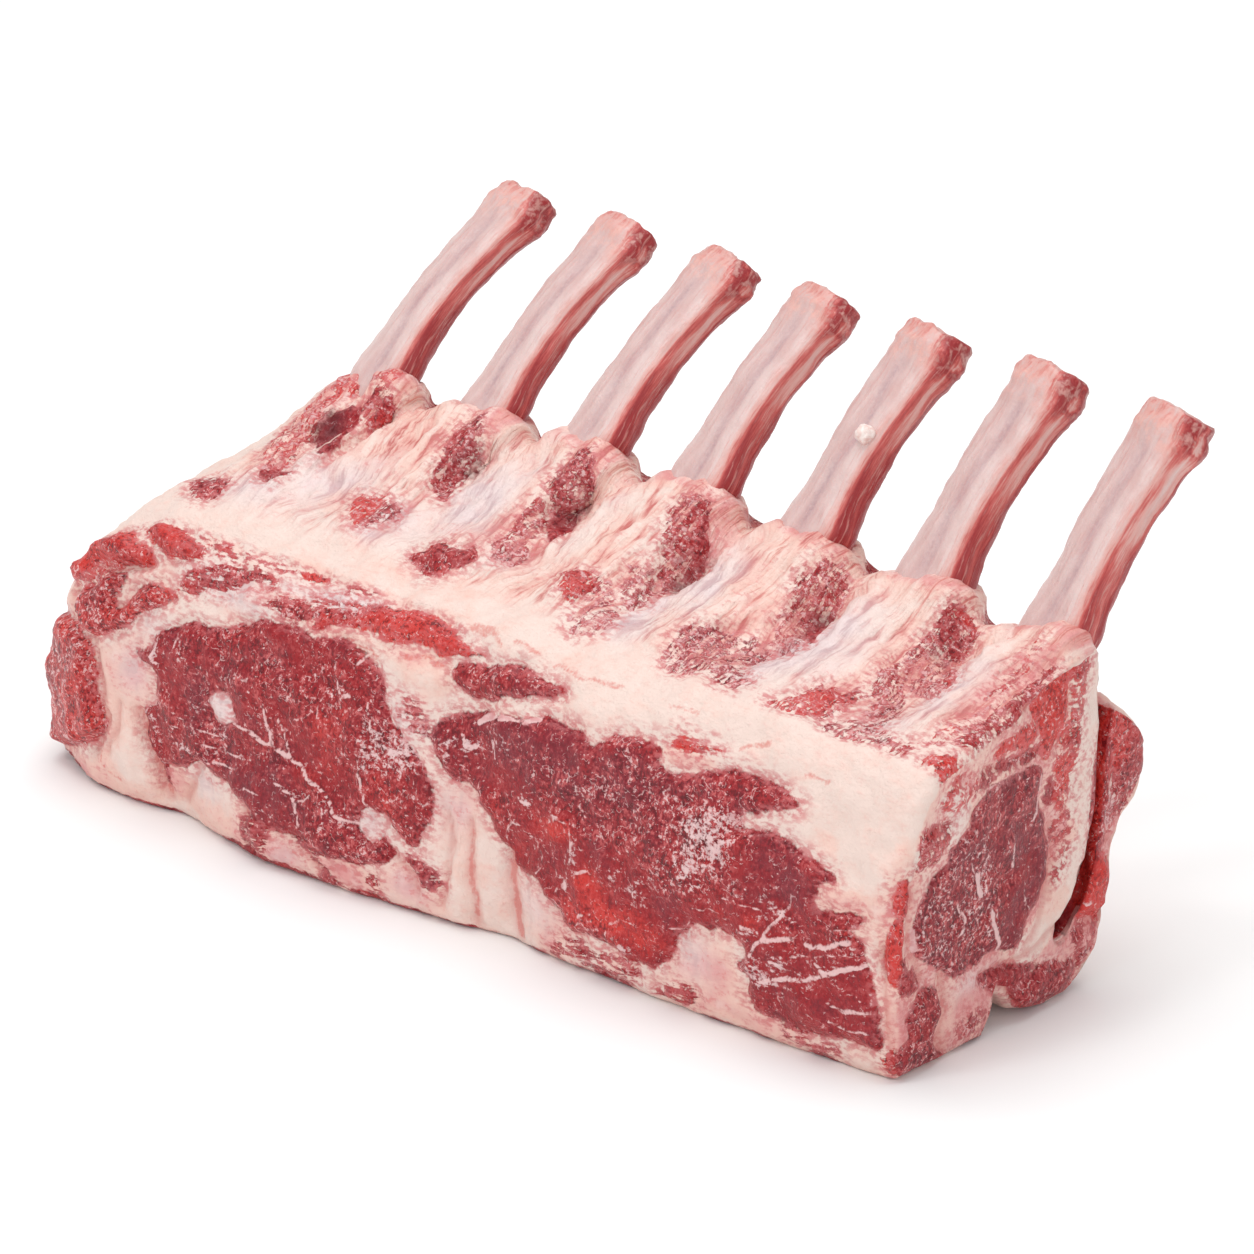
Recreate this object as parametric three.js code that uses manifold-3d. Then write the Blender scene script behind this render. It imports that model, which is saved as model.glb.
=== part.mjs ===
// A raw, frenched rack of lamb, lying on its fat side with the bare ribs raised to the rear.
// Millimetres, +Z up. X runs along the rack, with the clean cut end at +X. The long boned-out
// face looks along -Y. Z = 0 is the surface that the rack rests on.

import * as THREE from 'three';
import { mergeVertices } from 'three/addons/utils/BufferGeometryUtils.js';
import Module from 'manifold-3d';

const wasm = await Module();
wasm.setup();

// ---------------------------------------------------------------- driving dimensions

// Shift from the drawing axes to the middle of the object's box.
const shiftX = 2.2;
const shiftY = 5.2;

// The meat, along the rack.
const cutEndX = 95.2; // foot of the cut end
const cutEndLean = 2.6; // how far the cut end leans outward at rim height
const roundEndX = -77; // where the rounded end starts to close
const roundEndLength = 32;
const roundEndFullness = 2.3; // exponent of its superellipse
const roundEndCentreY = -12;
const roundEndCentreZ = 16;
const roundEndPull = 20; // how much shorter the rack is at the rim than low down
const roundEndPullX = [-46, -90]; // where that pull starts and is whole
const roundEndFrontPull = 0.42; // share of that pull at the long front edge
const roundEndKept = 0.995; // the rest of its length would close to a point
const roundEndSteps = [0, 0.9, 2.4, 4.6]; // close stations at its nose
const stationStep = 4.1;

// Heights of the meat.
const ridgeHeight = 53; // long front edge, at the fat band
const ridgeY = -36;
const rimHeights = [[-80, 71.6], [-15, 71.6], [10, 70.4], [36, 67.6], [62, 66], [96, 63.8]];

// The open cleft between the outer flap and the rest, seen at the cut end.
const cleftEndX = 66; // where the cleft has run out
const cleftWholeX = 89; // where it has its whole depth
const flapStartX = 58; // where the flap begins to take its own outline
const leanStartX = 40; // where the cut end's lean begins to show

// Bare ribs: x of the rib's middle where it leaves the meat, then where its tip is.
const ribs = [
  { x: -62.0, tip: [-53.6, 35.2, 98.6], width: 12.0, bulge: 2.2 },
  { x: -35.8, tip: [-27.9, 33.2, 99.2], width: 12.2, bulge: 2.0 },
  { x: -12.0, tip: [-4.3, 33.0, 98.4], width: 12.6, bulge: 1.7 },
  { x: 12.8, tip: [20.0, 30.5, 98.2], width: 12.8, bulge: 1.5 },
  { x: 37.7, tip: [45.0, 29.2, 98.0], width: 13.3, bulge: 1.2 },
  { x: 63.2, tip: [70.8, 28.4, 97.8], width: 13.5, bulge: 1.0 },
  { x: 89.8, tip: [97.2, 27.8, 97.2], width: 13.3, bulge: 0.8 },
];
const ribExitY = 4.6; // where the ribs leave the meat
const ribExitDepth = 1.8; // rib axis below the rim there
const ribRootY = -5; // where the modelled root ends inside the meat
const ribRootDepth = 7.4; // rib axis below the meat's surface there
const ribSlant = 0.15; // how far a rib drifts along x for each mm to the rear, under the skin
const ribThickness = 0.58; // of its width
const ribSquareness = 2.6; // exponent of the section's superellipse
const ribSides = 12;
const ribRings = 13;
const clearance = 0.3; // between each rib and its pocket in the meat

// Relief of the rib side: hollows between the ribs, as [x, y, half width, half length, depth].
const hollows = [
  [-62.5, -8.5, 4.5, 6.5, 5.0],
  [-54.5, -3.0, 2.6, 2.8, 2.6],
  [-29.8, -4.5, 4.6, 6.5, 4.6],
  [-4.8, -4.5, 4.6, 8.0, 4.8],
  [23.0, -9.0, 5.0, 8.5, 4.4],
  [50.5, -8.0, 4.6, 8.0, 4.0],
  [76.2, -6.0, 4.4, 7.0, 3.8],
  [20.5, -20.0, 4.5, 4.5, 1.8],
  [45.5, -24.0, 8.0, 4.5, 1.2],
  [78.5, -19.5, 5.5, 7.5, 1.4],
];
const ridgeRise = 1.5; // of the skin over each rib
const ridgeHalfWidth = 4.6;
const ridgeFadeY = [0, 8];
const webDip = 2.6; // of the web between two ribs, at the rim
const webOffset = [5, 11]; // distance from a rib's axis over which the web dips
const webY = [-6, 5];
const hollowOffset = [2.5, 5.5]; // the hollows stay this far from a rib's axis
const reliefStartY = [-33, -24]; // behind the fat band
const reliefStartX = [-84, -74];
const slumpShare = 0.35; // a hollow also leans to the rear by this share of its depth

// Relief of the long front face: swells and grooves, as [x, z, half width, half height, outward].
const frontSwells = [
  [-38, 27, 30, 20, 1.7],
  [-34, 5, 26, 10, 4.2],
  [42, 26, 36, 17, 1.6],
  [84, 16, 12, 14, 1.0],
  [3, 34, 6, 16, -1.8],
  [12, 10, 6, 16, -2.2],
  [-66, 3, 7, 10, -2.4],
  [-88, 30, 8, 18, 0.8],
];

// ---------------------------------------------------------------- small helpers

function clamp01(value) {
  return Math.min(1, Math.max(0, value));
}

function smooth(from, to, value) {
  const f = clamp01((value - from) / (to - from));
  return f * f * (3 - 2 * f);
}

function lerp(a, b, f) {
  return a + (b - a) * f;
}

function lookUp(table, x) {
  if (x <= table[0][0]) return table[0][1];
  for (let i = 1; i < table.length; i += 1) {
    if (x <= table[i][0]) {
      const f = smooth(table[i - 1][0], table[i][0], x);
      return lerp(table[i - 1][1], table[i][1], f);
    }
  }
  return table[table.length - 1][1];
}

function bell(distance) {
  return Math.exp(-distance * distance);
}

function catmullRom(p0, p1, p2, p3, f) {
  return p1.map((value, k) => {
    const a = 2 * value;
    const b = p2[k] - p0[k];
    const c = 2 * p0[k] - 5 * value + 4 * p2[k] - p3[k];
    const d = -p0[k] + 3 * value - 3 * p2[k] + p3[k];
    return 0.5 * (a + b * f + c * f * f + d * f * f * f);
  });
}

function rimHeight(x) {
  return lookUp(rimHeights, x);
}

// ---------------------------------------------------------------- the meat's outline

// Each outline point holds [y, z] in the middle of the rack and [y, z] at the cut end. A point of
// the rib side gives, in place of z, its share of the way from the ridge up to the rim.
const frontPoints = [
  { middle: [-41.8, 0], end: [-40.2, 0], parts: 1 },
  { middle: [-43.8, 7], end: [-42.4, 8], parts: 2 },
  { middle: [-43.6, 18], end: [-42.8, 18], parts: 3 },
  { middle: [-43.0, 34], end: [-42.6, 34], parts: 2 },
  { middle: [-40.9, 46], end: [-40.2, 45.5], parts: 2 },
];
const ribSidePoints = [
  { middle: [ridgeY, 0], end: [ridgeY + 0.8, 0], parts: 2 },
  { middle: [-28.5, 0.2], end: [-27.0, 0.24], parts: 4 },
  { middle: [-13.0, 0.57], end: [-13.0, 0.59], parts: 4 },
  { middle: [2.2, 0.98], end: [1.0, 0.95], parts: 1 },
  { middle: [7.6, 0.93], end: [4.8, 0.92], parts: 1 },
  { middle: [12.0, 0.8], end: [7.2, 0.72], parts: 1 },
];
const cleftPoints = [
  { end: [7.6, 54], parts: 1 },
  { end: [7.4, 44], parts: 1 },
  { end: [7.4, 34], parts: 1 },
  { end: [5.4, 22], parts: 1 },
  { end: [0.0, 13.8], parts: 1 },
  { end: [2.2, 12.0], parts: 1 },
  { end: [8.0, 20.8], parts: 1 },
  { end: [9.8, 34], parts: 1 },
  { end: [9.9, 45], parts: 1 },
  { end: [11.9, 50.4], parts: 1 },
];
const cleftMouth = [[14.6, 60.5], [17.4, 55.6]];
const flapPoints = [
  { middle: [20.0, 49], end: [16.0, 48.4], parts: 1 },
  { middle: [22.2, 41], end: [21.0, 41.5], parts: 2 },
  { middle: [22.4, 32], end: [20.4, 34], parts: 1 },
  { middle: [21.0, 23], end: [15.8, 27.5], parts: 2 },
  { middle: [17.6, 13], end: [13.6, 17], parts: 1 },
  { middle: [12.8, 5.6], end: [11.8, 7.2], parts: 1 },
  { middle: [6.0, 0.4], end: [5.4, 0.6], parts: 1 },
  { middle: [-2.0, -0.6], end: [-2.0, 0], parts: 1 },
  { middle: [-9.5, -0.6], end: [-10.0, 2.6], parts: 1 },
  { middle: [-14.7, -0.4], end: [-14.8, 6.8], parts: 1 },
  { middle: [-19.0, -0.6], end: [-18.4, -0.4], parts: 1 },
  { middle: [-30.0, -0.6], end: [-30.0, -0.6], parts: 2 },
];

function outlineAt(x) {
  const rise = rimHeight(x) - ridgeHeight;
  const toEnd = smooth(flapStartX, cutEndX, x);
  const cleft = smooth(cleftEndX, cleftWholeX, x);
  const blend = (point) => point.middle.map((value, k) => lerp(value, point.end[k], toEnd));
  const front = frontPoints.map(blend);
  const ribSide = ribSidePoints.map((point) => {
    const [y, share] = blend(point);
    return [y, ridgeHeight + share * rise];
  });
  const last = cleftPoints.length - 1;
  const mouthDrop = (1 - toEnd) * (rimHeight(0) - rimHeight(x));
  const cleftWalls = cleftPoints.map((point, i) => {
    const closed = [0, 1].map((k) => lerp(cleftMouth[0][k], cleftMouth[1][k], i / last));
    closed[1] -= mouthDrop;
    return closed.map((value, k) => lerp(value, point.end[k], cleft));
  });
  return [...front, ...ribSide, ...cleftWalls, ...flapPoints.map(blend)];
}

const outlineParts = [...frontPoints, ...ribSidePoints, ...cleftPoints, ...flapPoints]
  .map((point) => point.parts);

function sampleOutline(points) {
  const samples = [];
  const count = points.length;
  const at = (i) => points[(i + count) % count];
  points.forEach((point, i) => {
    for (let part = 0; part < outlineParts[i]; part += 1) {
      samples.push(catmullRom(at(i - 1), at(i), at(i + 1), at(i + 2), part / outlineParts[i]));
    }
  });
  return samples;
}

// ---------------------------------------------------------------- relief on the meat

function nearestRibOffset(x, y) {
  const offsets = ribs.map((rib) => x - (rib.x + ribSlant * (y - ribExitY)));
  return offsets.reduce((best, value) => (Math.abs(value) < Math.abs(best) ? value : best));
}

function ribSideRelief(x, y) {
  const inField = smooth(...reliefStartY, y) * smooth(...reliefStartX, x);
  const offset = Math.abs(nearestRibOffset(x, y));
  const ridge = ridgeRise * bell(offset / ridgeHalfWidth) * (1 - smooth(...ridgeFadeY, y));
  const web = -webDip * smooth(...webOffset, offset) * smooth(...webY, y);
  const hollow = hollows.reduce((sum, [cx, cy, halfWidth, halfLength, depth]) => {
    const along = (y - cy) / halfLength;
    const across = (x - cx - ribSlant * (y - cy)) / halfWidth;
    return sum - depth * bell(Math.hypot(along, across));
  }, 0);
  return inField * (ridge + web + hollow * smooth(...hollowOffset, offset));
}

function frontRelief(x, z) {
  return frontSwells.reduce((sum, [cx, cz, halfWidth, halfHeight, outward]) => (
    sum + outward * bell(Math.hypot((x - cx) / halfWidth, (z - cz) / halfHeight))
  ), 0);
}

// The rib side takes its relief upward, and the long front face takes its own outward.
function withRelief(x, y, z) {
  const onRibSide = smooth(ridgeHeight - 3, ridgeHeight + 2, z) * (1 - smooth(12, 15, y));
  const onFront = smooth(-36, -40, y);
  const up = onRibSide * ribSideRelief(x, y);
  const out = onFront * frontRelief(x, z);
  return [y - out - slumpShare * Math.min(up, 0), z + up];
}

// Closing of the rounded end: the share of its full size that a section keeps.
function sectionShare(x) {
  const f = clamp01((roundEndX - x) / roundEndLength);
  return (1 - f ** roundEndFullness) ** (1 / roundEndFullness);
}

// The rounded end slopes: it reaches least far at the rim, and furthest low on the front.
function roundEndShift(x, y, z) {
  const high = smooth(roundEndCentreZ, rimHeights[0][1] - 8, z);
  const rear = smooth(-44, ribExitY, y);
  const nearEnd = smooth(...roundEndPullX, x);
  return roundEndPull * nearEnd * high * lerp(roundEndFrontPull, 1, rear);
}

function meatSection(x) {
  const share = sectionShare(x);
  return sampleOutline(outlineAt(x)).map(([y, z]) => {
    const [ry, rz] = withRelief(x, y, Math.max(z, 0));
    const heightShare = rz > roundEndCentreZ ? share : share ** 0.4;
    const cy = roundEndCentreY + (ry - roundEndCentreY) * share ** 0.6;
    const cz = roundEndCentreZ + (rz - roundEndCentreZ) * heightShare;
    const lean = smooth(leanStartX, cutEndX, x) * cutEndLean * (cz / ridgeHeight);
    return [x + lean + roundEndShift(x, cy, cz), cy, Math.max(cz, 0)];
  });
}

// ---------------------------------------------------------------- closed meshes

function closedGeometry(positions, indices) {
  const geometry = new THREE.BufferGeometry();
  geometry.setAttribute('position', new THREE.Float32BufferAttribute(positions, 3));
  geometry.setIndex(indices);
  return geometry;
}

// Joins equal rings of points into a closed skin, the first and the last ring filled flat.
function loft(rings, fillFirst, fillLast) {
  const count = rings[0].length;
  const positions = rings.flat(2);
  const indices = [];
  for (let r = 0; r < rings.length - 1; r += 1) {
    for (let i = 0; i < count; i += 1) {
      const a = r * count + i;
      const b = r * count + ((i + 1) % count);
      indices.push(a, a + count, b, b, a + count, b + count);
    }
  }
  const lastStart = (rings.length - 1) * count;
  fillFirst.forEach(([a, b, c]) => indices.push(a, b, c));
  fillLast.forEach(([a, b, c]) => indices.push(lastStart + a, lastStart + b, lastStart + c));
  return closedGeometry(positions, indices);
}

function fillPolygon(ring, axisA, axisB) {
  const contour = ring.map((point) => new THREE.Vector2(point[axisA], point[axisB]));
  return THREE.ShapeUtils.triangulateShape(contour, []);
}

function signedVolume(geometry) {
  const position = geometry.attributes.position;
  const index = geometry.index.array;
  const corner = (i) => new THREE.Vector3().fromBufferAttribute(position, i);
  let volume = 0;
  for (let i = 0; i < index.length; i += 3) {
    volume += corner(index[i]).dot(corner(index[i + 1]).cross(corner(index[i + 2]))) / 6;
  }
  return volume;
}

function turned(faces) {
  return faces.map(([a, b, c]) => [a, c, b]);
}

function meatGeometry() {
  const firstX = roundEndX - roundEndLength * roundEndKept;
  const stations = roundEndSteps.map((step) => firstX + step);
  const bodyStart = stations[stations.length - 1] + stationStep;
  const steps = Math.round((cutEndX - bodyStart) / stationStep);
  for (let i = 0; i <= steps; i += 1) stations.push(lerp(bodyStart, cutEndX, i / steps));
  const rings = stations.map(meatSection);
  const cutFace = fillPolygon(rings[rings.length - 1], 1, 2);
  const roundFace = fillPolygon(rings[0], 1, 2);
  return loft(rings, turned(roundFace), cutFace);
}

// ---------------------------------------------------------------- the ribs

function ribPath(rib) {
  const rootX = rib.x + ribSlant * (ribRootY - ribExitY);
  const rim = rimHeight(rib.x);
  const surface = lerp(ridgeHeight, rim, (ribRootY - ridgeY) / (ribExitY - ridgeY));
  const root = new THREE.Vector3(rootX, ribRootY, surface - ribRootDepth);
  const exit = new THREE.Vector3(rib.x, ribExitY, rim - ribExitDepth);
  const tip = new THREE.Vector3(...rib.tip);
  const middle = exit.clone().lerp(tip, 0.5);
  middle.y -= rib.bulge * Math.SQRT1_2;
  middle.z += rib.bulge * Math.SQRT1_2;
  return new THREE.CatmullRomCurve3([root, exit, middle, tip], false, 'centripetal');
}

// Swell of a rib along its bare length: wide at the root, a waist, then a knob at the tip.
const ribProfile = [
  [0, 1.06], [0.34, 1.12], [0.5, 0.98], [0.67, 0.96], [0.83, 1.02], [0.93, 1.17], [1, 1.12],
];

function ribGeometry(rib, grow) {
  const path = ribPath(rib);
  const rings = [];
  for (let r = 0; r < ribRings; r += 1) {
    const along = r / (ribRings - 1);
    const centre = path.getPoint(along);
    const tangent = path.getTangent(along);
    const side = new THREE.Vector3(tangent.y, -tangent.x, 0).normalize();
    const inner = new THREE.Vector3().crossVectors(side, tangent).normalize();
    const end = along === 0 ? -grow : 0;
    centre.addScaledVector(tangent, along === 1 ? grow : end);
    const swell = lookUp(ribProfile, along);
    const halfWidth = 0.5 * rib.width * swell + grow;
    const halfDepth = 0.5 * rib.width * ribThickness * (0.4 + 0.6 * swell) + grow;
    const ring = [];
    for (let i = 0; i < ribSides; i += 1) {
      const angle = (2 * Math.PI * (i + 0.5)) / ribSides;
      const power = 2 / ribSquareness;
      const across = Math.sign(Math.cos(angle)) * Math.abs(Math.cos(angle)) ** power;
      const through = Math.sign(Math.sin(angle)) * Math.abs(Math.sin(angle)) ** power;
      const point = centre.clone()
        .addScaledVector(side, across * halfWidth)
        .addScaledVector(inner, through * halfDepth);
      ring.push(point.toArray());
    }
    rings.push(ring);
  }
  const fan = [];
  for (let i = 1; i < ribSides - 1; i += 1) fan.push([0, i, i + 1]);
  const geometry = loft(rings, fan, turned(fan));
  if (signedVolume(geometry) < 0) {
    const index = geometry.index.array;
    for (let i = 0; i < index.length; i += 3) {
      [index[i + 1], index[i + 2]] = [index[i + 2], index[i + 1]];
    }
  }
  return geometry;
}

// ---------------------------------------------------------------- joining and cutting

function toSolid(geometry) {
  const bare = geometry.clone();
  bare.deleteAttribute('normal');
  bare.deleteAttribute('uv');
  const merged = mergeVertices(bare, 1e-4);
  return new wasm.Manifold(new wasm.Mesh({
    numProp: 3,
    vertProperties: new Float32Array(merged.attributes.position.array),
    triVerts: new Uint32Array(merged.index.array),
  }));
}

function toGeometry(solid) {
  const mesh = solid.getMesh();
  return closedGeometry(Array.from(mesh.vertProperties), Array.from(mesh.triVerts));
}

function namedMesh(name, geometry, color, roughness) {
  geometry.computeVertexNormals();
  const material = new THREE.MeshStandardMaterial({ color, roughness, metalness: 0 });
  const mesh = new THREE.Mesh(geometry, material);
  mesh.name = name;
  return mesh;
}

// ---------------------------------------------------------------- the rack

const rack = new THREE.Group();
rack.position.set(shiftX, shiftY, 0);

let meat = toSolid(meatGeometry());
ribs.forEach((rib) => {
  meat = meat.subtract(toSolid(ribGeometry(rib, clearance)));
});
rack.add(namedMesh('meat', toGeometry(meat), 0x9c4147, 0.45));

ribs.forEach((rib, i) => {
  rack.add(namedMesh(`rib_${i + 1}`, ribGeometry(rib, 0), 0xdcbcb8, 0.5));
});

export default rack;
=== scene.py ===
"""Dresses a raw, frenched rack of lamb: fine meshes over its solids, procedural meat and bone, soft studio.

Sizes are millimetres in the rack's drawing axes until mesh_object() turns them into metres.
X runs along the rack, with the clean cut end at +X. The long boned-out face looks along -Y.
"""

import math

import bpy
import numpy as np
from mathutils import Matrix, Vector
from mathutils.geometry import delaunay_2d_cdt


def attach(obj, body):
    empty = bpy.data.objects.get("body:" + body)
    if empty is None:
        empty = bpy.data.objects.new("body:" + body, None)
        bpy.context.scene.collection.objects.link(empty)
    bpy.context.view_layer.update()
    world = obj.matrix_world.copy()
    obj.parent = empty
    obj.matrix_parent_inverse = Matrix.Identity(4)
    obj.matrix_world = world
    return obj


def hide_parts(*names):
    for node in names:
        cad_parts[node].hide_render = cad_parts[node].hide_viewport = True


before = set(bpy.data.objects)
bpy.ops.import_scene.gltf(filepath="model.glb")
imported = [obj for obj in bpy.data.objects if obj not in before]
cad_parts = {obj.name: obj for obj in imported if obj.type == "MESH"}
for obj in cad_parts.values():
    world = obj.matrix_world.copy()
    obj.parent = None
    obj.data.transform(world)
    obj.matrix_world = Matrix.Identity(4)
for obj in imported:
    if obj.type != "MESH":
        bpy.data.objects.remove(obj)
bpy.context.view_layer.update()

MM = 0.001
SHIFT = np.array([2.2, 5.2, 0.0])  # from the drawing axes to the frame's

# ---------------------------------------------------------------- the rack's driving dimensions

CUT_END_X = 95.2
CUT_END_LEAN = 2.6
LEAN_START_X = 40.0
ROUND_END_X = -77.0
ROUND_END_LENGTH = 32.0
ROUND_END_FULLNESS = 2.3
ROUND_END_CENTRE = (-12.0, 16.0)  # y, z
ROUND_END_PULL = 20.0
ROUND_END_PULL_X = (-46.0, -90.0)
ROUND_END_FRONT_PULL = 0.42
ROUND_END_LEAST = 0.03  # share of its full size that the nose's last section keeps
ROUND_END_WIDTH_POWER = 0.6  # how quickly the sections lose width, against their size
ROUND_END_HEIGHT_POWER = 0.4  # and height below the end's centre
ROUND_END_REACH = (26.0, 40.0)  # half width and height that space the nose's stations

RIDGE_HEIGHT = 53.0
RIDGE_Y = -36.0
RIM_HEIGHTS = [(-80, 71.6), (-15, 71.6), (10, 70.4), (36, 67.6), (62, 66), (96, 63.8)]

CLEFT_END_X = 66.0
CLEFT_WHOLE_X = 89.0
CLEFT_CENTRE_Z = (12, 21, 34, 45, 54, 60)  # heights of the line midway between the cleft's walls
CLEFT_CENTRE_Y = (1.5, 6.4, 8.6, 8.7, 10.2, 13)
FLAP_START_X = 58.0

RIBS = [  # x where the rib leaves the meat, tip, width, bulge
    (-62.0, (-53.6, 35.2, 98.6), 12.0, 2.2),
    (-35.8, (-27.9, 33.2, 99.2), 12.2, 2.0),
    (-12.0, (-4.3, 33.0, 98.4), 12.6, 1.7),
    (12.8, (20.0, 30.5, 98.2), 12.8, 1.5),
    (37.7, (45.0, 29.2, 98.0), 13.3, 1.2),
    (63.2, (70.8, 28.4, 97.8), 13.5, 1.0),
    (89.8, (97.2, 27.8, 97.2), 13.3, 0.8),
]
RIB_EXIT_Y = 4.6
RIB_EXIT_DEPTH = 1.8
RIB_ROOT_Y = -5.0
RIB_ROOT_DEPTH = 7.4
RIB_SLANT = 0.15
RIB_SPACING = 25.2
RIB_THICKNESS = 0.58
RIB_SQUARENESS = 2.6
RIB_PROFILE = [(0, 1.06), (0.34, 1.12), (0.5, 0.98), (0.67, 0.96), (0.83, 1.02), (0.93, 1.17), (1, 1.12)]

HOLLOWS = [  # x, y, half width, half length, depth
    (-62.5, -8.5, 4.5, 6.5, 5.0),
    (-54.5, -3.0, 2.6, 2.8, 2.6),
    (-29.8, -4.5, 4.6, 6.5, 4.6),
    (-4.8, -4.5, 4.6, 8.0, 4.8),
    (23.0, -9.0, 5.0, 8.5, 4.4),
    (50.5, -8.0, 4.6, 8.0, 4.0),
    (76.2, -6.0, 4.4, 7.0, 3.8),
    (20.5, -20.0, 4.5, 4.5, 1.8),
    (45.5, -24.0, 8.0, 4.5, 1.2),
    (78.5, -19.5, 5.5, 7.5, 1.4),
]
RIDGE_RISE = 1.5
RIDGE_HALF_WIDTH = 4.6
RIDGE_FADE_Y = (0.0, 8.0)
WEB_DIP = 2.6
WEB_OFFSET = (5.0, 11.0)
WEB_Y = (-6.0, 5.0)
HOLLOW_OFFSET = (2.5, 5.5)
HOLLOW_CLEARANCE = 2.6  # how much further the hollows keep from the bare ribs
HOLLOW_END_Y = (-4.5, 0.5)
HOLLOW_END_FADE = 0.85  # share of its depth that a hollow loses there
RELIEF_START_Y = (-33.0, -24.0)
RELIEF_START_X = (-84.0, -74.0)
SLUMP_SHARE = 0.35

FRONT_SWELLS = [  # x, z, half width, half height, outward
    (-38, 27, 30, 20, 1.7),
    (-34, 5, 26, 10, 4.2),
    (42, 26, 36, 17, 1.6),
    (84, 16, 12, 14, 1.0),
    (3, 34, 6, 16, -1.8),
    (12, 10, 6, 16, -2.2),
    (-66, 3, 7, 10, -2.4),
    (-88, 30, 8, 18, 0.8),
]

# The meat's outline: (y, z) in the middle of the rack, then at the cut end. On the rib side the
# second number is the share of the way from the ridge up to the rim.
FRONT_LINE = [
    ((-41.8, 0), (-40.2, 0)),
    ((-43.8, 7), (-42.4, 8)),
    ((-43.6, 18), (-42.8, 18)),
    ((-43.0, 34), (-42.6, 34)),
    ((-40.9, 46), (-40.2, 45.5)),
]
RIB_SIDE_LINE = [
    ((RIDGE_Y, 0), (RIDGE_Y + 0.8, 0)),
    ((-28.5, 0.2), (-27.0, 0.24)),
    ((-13.0, 0.57), (-13.0, 0.59)),
    ((2.2, 0.98), (1.0, 0.95)),
    ((7.6, 0.93), (4.8, 0.92)),
    ((12.0, 0.8), (7.2, 0.72)),
]
CLEFT_LINE = [
    (7.6, 54), (7.4, 44), (7.4, 34), (5.4, 22), (0.0, 13.8),
    (2.2, 12.0), (8.0, 20.8), (9.8, 34), (9.9, 45), (11.9, 50.4),
]
CLEFT_MOUTH = ((14.6, 60.5), (17.4, 55.6))
FLAP_LINE = [
    ((20.0, 49), (16.0, 48.4)),
    ((22.2, 41), (21.0, 41.5)),
    ((22.4, 32), (20.4, 34)),
    ((21.0, 23), (15.8, 27.5)),
    ((17.6, 13), (13.6, 17)),
    ((12.8, 5.6), (11.8, 7.2)),
    ((6.0, 0.4), (5.4, 0.6)),
    ((-2.0, -0.6), (-2.0, 0)),
    ((-9.5, -0.6), (-10.0, 2.6)),
    ((-14.7, -0.4), (-14.8, 6.8)),
    ((-19.0, -0.6), (-18.4, -0.4)),
    ((-30.0, -0.6), (-30.0, -0.6)),
]

# Grid of the fine skin.
FRONT_STEP = 0.72
RIB_SIDE_STEP = 0.66
BACK_STEP = 1.3
UNDER_STEP = 2.2
UNDER_POINTS = 6  # the flap line's last points lie under the rack
CLEFT_PARTS = 8
STATION_STEP = 0.68
CUT_EDGE_RADIUS = 2.4
CUT_EDGE_STEPS = np.array([0.76, 0.56, 0.38, 0.24, 0.12, 0.04, 0.0])  # shares of that radius
CUT_FACE_STEP = 0.68


# ---------------------------------------------------------------- small helpers

def smooth(start, stop, value):
    f = np.clip((value - start) / (stop - start), 0, 1)
    return f * f * (3 - 2 * f)


def lerp(a, b, f):
    return a + (b - a) * f


def bell(distance):
    return np.exp(-distance * distance)


def look_up(table, value):
    """Smooth steps between the table's points, as the solids have them."""
    value = np.asarray(value, float)
    result = np.full(value.shape, float(table[0][1]))
    for (x0, y0), (x1, y1) in zip(table, table[1:]):
        result = np.where(value > x0, lerp(y0, y1, smooth(x0, x1, value)), result)
    return result


def rim_height(x):
    return look_up(RIM_HEIGHTS, x)


def unit(vectors):
    return vectors / np.maximum(np.linalg.norm(vectors, axis=-1, keepdims=True), 1e-9)


class Noise:
    """Gradient noise in three dimensions, about -0.7 to 0.7."""

    def __init__(self, seed):
        random = np.random.default_rng(seed)
        self.order = random.permutation(256)
        self.slopes = unit(random.normal(size=(256, 3)))

    def single(self, points):
        cell = np.floor(points).astype(int)
        inside = points - cell
        ease = inside ** 3 * (inside * (inside * 6 - 15) + 10)
        total = np.zeros(len(points))
        for corner in np.ndindex(2, 2, 2):
            index = (cell + corner) & 255
            chain = self.order[index[:, 0]]
            chain = self.order[(chain + index[:, 1]) & 255]
            chain = self.order[(chain + index[:, 2]) & 255]
            weight = np.where(np.array(corner), ease, 1 - ease).prod(axis=1)
            total += weight * (self.slopes[chain] * (inside - corner)).sum(axis=1)
        return total

    def __call__(self, points, size, octaves):
        scaled = np.asarray(points, float) / np.asarray(size, float)
        return sum(self.single(scaled * 2 ** k + 17.3 * k) / 2 ** k for k in range(octaves))


# ---------------------------------------------------------------- the meat's skin

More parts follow.
